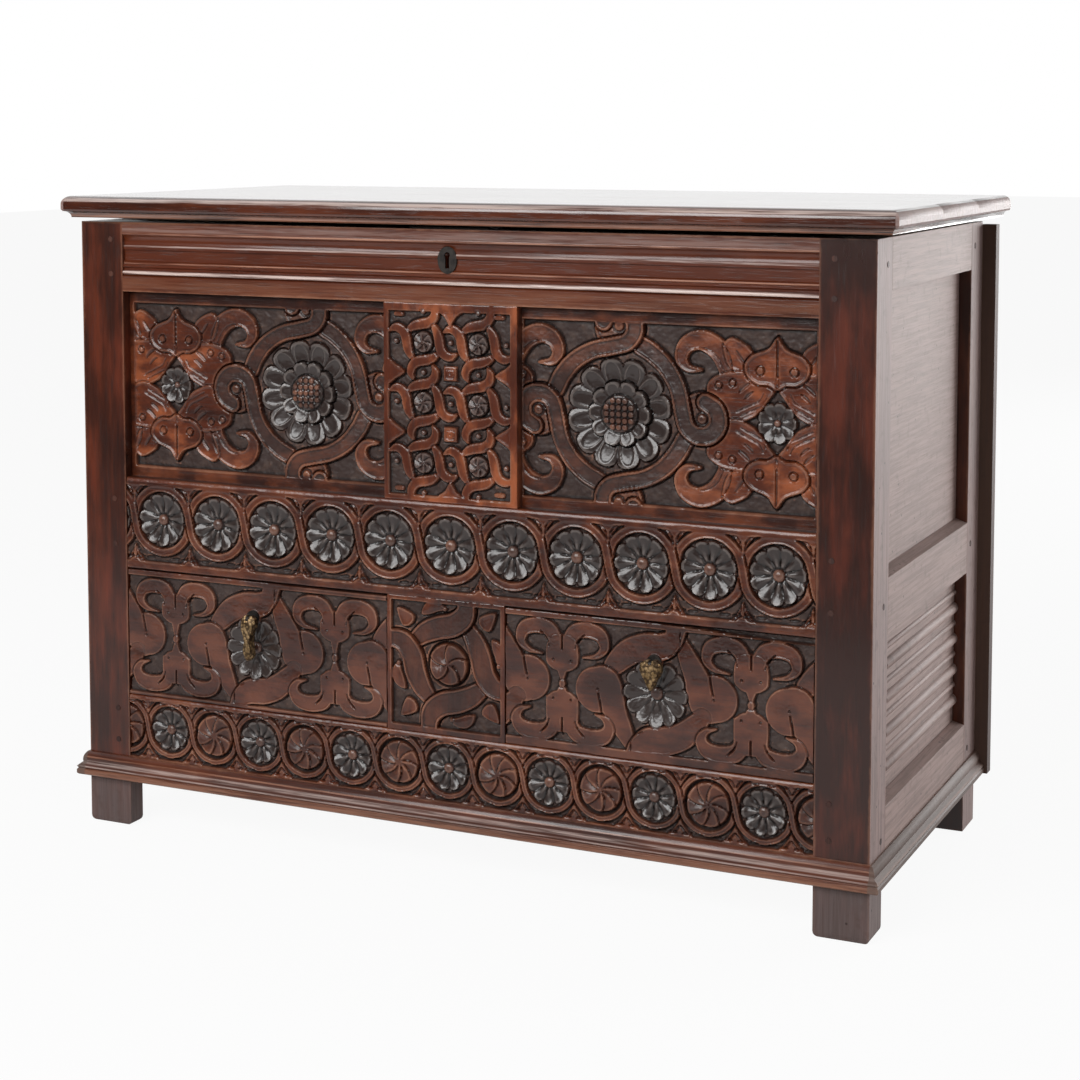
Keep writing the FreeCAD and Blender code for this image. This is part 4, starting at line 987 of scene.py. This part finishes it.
def carvePanels():
    tongue = panelTongue
    for seed, side in enumerate(("left", "right"), firstSeed["panel"]):
        node = "front_panel_" + side
        low, high = boxMm(node)
        c = carvePanel(side, (low[0] + tongue, low[2] + tongue), (high[0] - tongue, high[2] - tongue),
                       tongue)
        rings = [(low[1] + tongue, plain), (low[1] + tongue, (tongue,) * 4), (high[1], (tongue,) * 4)]
        piece = carvedBoard(node + "_carved", c, low[1], rings, seed)
        finishCarved(piece, node, carvedOak(node, "x", seed + grainSeed, 0.50, thin="ember"))


def carveDrawers():
    for seed, side in enumerate(("left", "right"), firstSeed["drawer"]):
        node = "drawer_" + side + "_front"
        low, high = boxMm(node)
        c = carveDrawer(side, (low[0], low[2]), (high[0], high[2]))
        step, insets = low[1] + drawerRebate["depth"], drawerRebate["insets"]
        rings = [(step, plain), (step, insets), (high[1], insets)]
        piece = carvedBoard(node + "_carved", c, low[1], rings, seed)
        finishCarved(piece, node, carvedOak(node, "x", seed + grainSeed, 0.5, dusty=0.08))


carveRails()
print("carved rails ready")
carveMuntins()
print("carved muntins ready")
carvePanels()
print("carved panels ready")
carveDrawers()
print("carved drawer fronts ready")


# the plain members are softened copies of the boards, each with its own run of grain
def applyModifier(piece, kind, **settings):
    modifier = piece.modifiers.new(kind.lower(), kind)
    for name, value in settings.items():
        setattr(modifier, name, value)
    onlySelect(piece)
    bpy.ops.object.modifier_apply(modifier=modifier.name)


def mergeDoubles(piece):
    onlySelect(piece)
    bpy.ops.object.mode_set(mode="EDIT")
    bpy.ops.mesh.select_all(action="SELECT")
    bpy.ops.mesh.remove_doubles(threshold=0.00002)
    bpy.ops.mesh.select_all(action="DESELECT")
    bpy.ops.object.mode_set(mode="OBJECT")


def copyOfNode(node, name):
    piece = nodes[node].copy()
    piece.data = nodes[node].data.copy()
    piece.name = name
    for key in list(piece.keys()):
        if key.startswith("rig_"):
            del piece[key]
    piece.parent = None
    bpy.context.scene.collection.objects.link(piece)
    mergeDoubles(piece)
    return piece


wornFeet = {   # metres: where the cut lies, how round the sole's edge is, and how deep each foot still is
    "top": 0.0742,
    "round": 0.008,
    "depths": {"front_stile_left": 0.030, "front_stile_right": 0.054},
}


def wearFoot(piece, depth):
    # cut across just above the foot, its back drawn forwards and its sole's edge rounded
    top, curve = wornFeet["top"], wornFeet["round"]
    low, high = ([pick(v.co[axis] for v in piece.data.vertices) for axis in range(3)] for pick in (min, max))
    bpy.ops.object.mode_set(mode="EDIT")
    for height in (top + 0.0004, top, curve, curve * 0.6, curve * 0.3, curve * 0.1):
        bpy.ops.mesh.select_all(action="SELECT")
        bpy.ops.mesh.bisect(plane_co=(0, 0, height), plane_no=(0, 0, 1))
    bpy.ops.object.mode_set(mode="OBJECT")
    for vertex in piece.data.vertices:
        place = vertex.co
        if place.z < top + 0.0001:
            inset = curve - math.sqrt(curve ** 2 - max(curve - max(place.z, 0.0), 0.0) ** 2)
            place.x = min(max(place.x, low[0] + inset), high[0] - inset)
            place.y = min(max(place.y, low[1] + inset * 0.5), low[1] + depth - inset * 0.5)
    mergeDoubles(piece)


def slopeTop(piece, drop):   # the upper arris of an end rail is planed off, so its top face falls outwards
    places = [vertex.co for vertex in piece.data.vertices]
    top = max(place.z for place in places)
    outer = max(abs(place.x) for place in places)
    for place in places:
        if place.z > top - 0.0001 and abs(place.x) > outer - 0.0001:
            place.z -= drop


slopedRails = {"middle": 0.006, "bottom": 0.005}   # metres, by the second word of a node's name


def softened(node, material, width):
    piece = copyOfNode(node, node + "_aged")
    kind, part = node.split("_")[:2]
    if kind == "side" and part in slopedRails:
        slopeTop(piece, slopedRails[part])
    applyModifier(piece, "BEVEL", width=width, segments=2, limit_method="ANGLE",
                  angle_limit=math.radians(40))
    if node in wornFeet["depths"]:
        wearFoot(piece, wornFeet["depths"][node])
    replaceNode(piece, node, material)


def bothSides(table):   # a name that is no node stands for its left and its right one
    made = {}
    for name, look in table.items():
        for node in ([name] if name in nodes else [name + "_left", name + "_right"]):
            made[node] = look
    return made


members = bothSides({   # run of the grain, redness, wear and edge softening in metres
    "front_stile_left": ("z", 0.42, 0.45, 0.0016),
    "front_stile_right": ("z", 0.08, 0.45, 0.0016),
    "rear_stile": ("z", 0.40, 0.5, 0.0014),
    "front_top_rail": ("x", 0.9, 0.8, 0.0007),
    "base_moulding_front": ("x", 0.6, 0.9, 0.0008),
    "base_moulding": ("y", 0.5, 0.7, 0.0008),
    "side_top_rail": ("y", 0.45, 0.6, 0.0012),
    "side_middle_rail": ("y", 0.45, 0.6, 0.0012),
    "side_bottom_rail": ("y", 0.45, 0.6, 0.0012),
    "side_panel_upper": ("y", 0.45, 0.5, 0.0006),
    "side_panel_lower": ("y", 0.45, 0.5, 0.0006),
    "lid_board_front": ("x", 0.6, 0.9, 0.0010),
    "lid_board_middle": ("x", 0.5, 0.6, 0.0010),
    "lid_board_rear": ("x", 0.5, 0.6, 0.0010),
})
finish = {"lid": (0.14, 0.9), "other": (0.24, 0.2)}   # how rough the wood is, and how much wax lies on it
rubbedReach = 0.006   # metres, from an arris inwards
brightLines = {   # metres: for each painted highlight line, and each band of worn colour, along the beads: how high it lies, half its width, its colour and how much of it
    "front_top_rail": (
        (0.8885, 0.0075, "paintedHighlight", 0.20), (0.8812, 0.0018, "polishAndHighlight", 1.0), (0.8630, 0.0016, "paintedHighlight", 0.7),
        (0.8385, 0.0014, "polishAndHighlight", 0.9), (0.8248, 0.0032, "paintedHighlight", 1.1), (0.8080, 0.0125, "worn", 0.35)),
    "base_moulding_front": (
        (0.0980, 0.0016, "polishAndHighlight", 0.6), (0.0905, 0.0034, "paintedHighlight", 0.55), (0.0845, 0.0016, "paintedHighlight", 0.5),
        (0.0765, 0.0070, "worn", 0.8)),
    "base_moulding_right": ((0.0845, 0.0028, "polishAndHighlight", 0.9),),
    "lid_board_front": ((0.9300, 0.0034, "paintedHighlight", 0.85), (0.9080, 0.0040, "polishAndHighlight", 0.6)),
}
anyPlace = 9.0   # metres, past all of the chest
allDry = ("dry", "x", anyPlace, anyPlace)
caseEnds = (-0.6077, 0.5907)   # the outer faces of the stiles
bareParts = {   # unpolished wood, and on the outer ends faded wood paled by a painted reflection: its colour, and the axis and the two places beyond which it lies
    "side": (allDry, ("fadedAndSheen", "x", -0.582, 0.565)),
    "lid": (("dry", "z", 0.9049, anyPlace), ("fadedAndSheen", "x", -0.6205, 0.6205)),
    "front": (("fadedAndSheen", "x", *caseEnds), ("sole", "z", 0.0735, anyPlace)),
    "base": (("weatheredAndSheen", "x", -0.6093, 0.5923),),
    "rear": (("fadedAndSheen", "x", *caseEnds),),
}

for seed, (node, (axis, red, worn, width)) in enumerate(members.items(), 1):
    kind = node.split("_")[0]
    gloss, wax = finish.get(kind, finish["other"])
    thin = "wine" if "front_stile" in node else "thin"
    beads = brightLines.get(node, ())
    material = oakMaterial("oak_" + node, axis, seed, (*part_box(node), rubbedReach), red, worn, gloss,
                           wax=wax, bare=bareParts[kind], beads=beads, thin=thin)
    softened(node, material, width)
print("plain members ready")

innerSeeds = {"inner": 40, "pegs": 41, "back": 43}
innerLook = {}
for axis in "xyz":
    innerLook[axis] = oakMaterial("innerOak_" + axis, axis, innerSeeds["inner"], red=0.6, worn=0.2,
                                  gloss=0.4, bare=(allDry,))
grainRunsBack = ("chest_floor_boards", "centre_bearer", "drawer_partitions", "drawer_runners")
skin = 0.0006   # metres, over which the two faces of the back boards are dry
low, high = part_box("back_boards")
bareBack = (("dry", "y", low[1] + skin, high[1] - skin), ("stained", "x", -0.6085, 0.5915))
backLook = oakMaterial("oak_back_boards", "z", innerSeeds["back"], red=0.3, worn=0.2, bare=bareBack)
pegLook = oakMaterial("oak_joint_pegs", "z", innerSeeds["pegs"], red=0.3, worn=0.2, gloss=0.55, wax=0.0)
for node, piece in nodes.items():
    if node == "joint_pegs":
        giveMaterial(piece, pegLook)
    elif node == "back_boards":
        giveMaterial(piece, backLook)
    elif slotOf[node] == "forged_iron":
        giveMaterial(piece, iron)
    elif slotOf[node] == "brass":
        giveMaterial(piece, brass)
    elif not piece.hide_render:
        giveMaterial(piece, innerLook["y" if node in grainRunsBack or "_side_" in node else "x"])
print("inner boards and ironwork ready")

studio = {
    "floorSize": 30.0,
    "floorMiddle": (0.0, 13.2, 0.0),     # it starts a metre and a half in front and runs far behind
    "floorColour": (0.86, 0.86, 0.86),
    "floorGlow": 0.93,
    "floorMirrored": (-13.8, -12.0, 0.1, 1.0),   # gloss sees more of its glow from the chest backwards
    "worldPlain": 0.15,
    "worldFront": 0.07,                  # what gloss sees towards the darker end of the room
    "worldTurn": (-0.5, 0.3),            # and where the room grows light
    "lamps": (   # name, place, aimed at, width, height, power
        ("frontLamp", (-0.6, -3.3, 2.2), (0.0, -0.3, 0.5), 3.2, 1.8, 117.0),
        ("sideLamp", (3.2, 4.4, 0.95), (0.6, 0.0, 0.4), 4.4, 1.8, 210.0),
        ("fillLamp", (3.4, -2.8, 1.8), (0.0, -0.3, 0.5), 1.6, 1.6, 12.0),
    ),
}


def rayKinds(shade, *names):   # for each kind of ray, 1 on rays of that kind
    light = shade.node("ShaderNodeLightPath")
    return [Shade(shade.tree, light.socket.node.outputs["Is " + name + " Ray"]) for name in names]


bpy.ops.object.select_all(action="DESELECT")
bpy.ops.mesh.primitive_plane_add(size=studio["floorSize"], location=studio["floorMiddle"])
floor = bpy.context.active_object
floor.name = "floor"
floorMaterial, shade = newMaterial("paleFloor")
diffuse = shade.node("ShaderNodeBsdfDiffuse", None, {"Color": (*studio["floorColour"], 1.0)})
glow = shade.node("ShaderNodeEmission", None, {"Color": (1, 1, 1, 1), "Strength": 1.0})
seen, mirrored = rayKinds(shade, "Camera", "Glossy")
place = shade.node("ShaderNodeSeparateXYZ", None, {0: shade.node("ShaderNodeTexCoord", None, None, 3)}, 1)
seen = seen.most(mirrored * place.ramp(*studio["floorMirrored"]))
mixed = shade.node("ShaderNodeMixShader", None, {0: seen * studio["floorGlow"], 1: diffuse, 2: glow})
shade.node("ShaderNodeOutputMaterial", None, {"Surface": mixed})
giveMaterial(floor, floorMaterial)

world = bpy.data.worlds.new("paleRoom")
world.use_nodes = True
world.node_tree.nodes.clear()
shade = Shade(world.node_tree)
seen, mirrored, passed = rayKinds(shade, "Camera", "Glossy", "Transmission")
towards = shade.node("ShaderNodeTexCoord", None, None, 0)
alongY = shade.node("ShaderNodeSeparateXYZ", None, {0: towards}, 1)
inGloss = alongY.ramp(*studio["worldTurn"], studio["worldFront"], 1.0)
strength = seen.most(passed).most(mirrored * inGloss)
strength = strength.most(studio["worldPlain"] * (1.0 - mirrored))
glow = shade.node("ShaderNodeBackground", None, {"Color": (1, 1, 1, 1), "Strength": strength})
shade.node("ShaderNodeOutputWorld", None, {"Surface": glow})
bpy.context.scene.world = world

for name, place, aim, wide, high, power in studio["lamps"]:
    lamp = bpy.data.lights.new(name, "AREA")
    lamp.shape = "RECTANGLE"
    lamp.size = wide
    lamp.size_y = high
    lamp.energy = power
    lampObject = bpy.data.objects.new(name, lamp)
    bpy.context.scene.collection.objects.link(lampObject)
    lampObject.visible_camera = False
    lampObject.location = place
    lampObject.rotation_euler = (Vector(aim) - Vector(place)).to_track_quat("-Z", "Y").to_euler()

view = {
    "place": (1.3315, -2.8805, 1.0406), "pitch": -4.74, "yaw": 24.78,
    "lens": 72.2, "sensor": 36.0, "shift": (0.0009, -0.2194),
}
camera = bpy.data.cameras.new("camera")
camera.lens = view["lens"]
camera.sensor_width = view["sensor"]
camera.shift_x, camera.shift_y = view["shift"]
cameraObject = bpy.data.objects.new("camera", camera)
bpy.context.scene.collection.objects.link(cameraObject)
cameraObject.location = view["place"]
cameraObject.rotation_euler = (math.radians(90 + view["pitch"]), 0, math.radians(view["yaw"]))
bpy.context.scene.camera = cameraObject
bpy.context.scene.view_settings.view_transform = "Standard"
print("floor, light and camera ready")
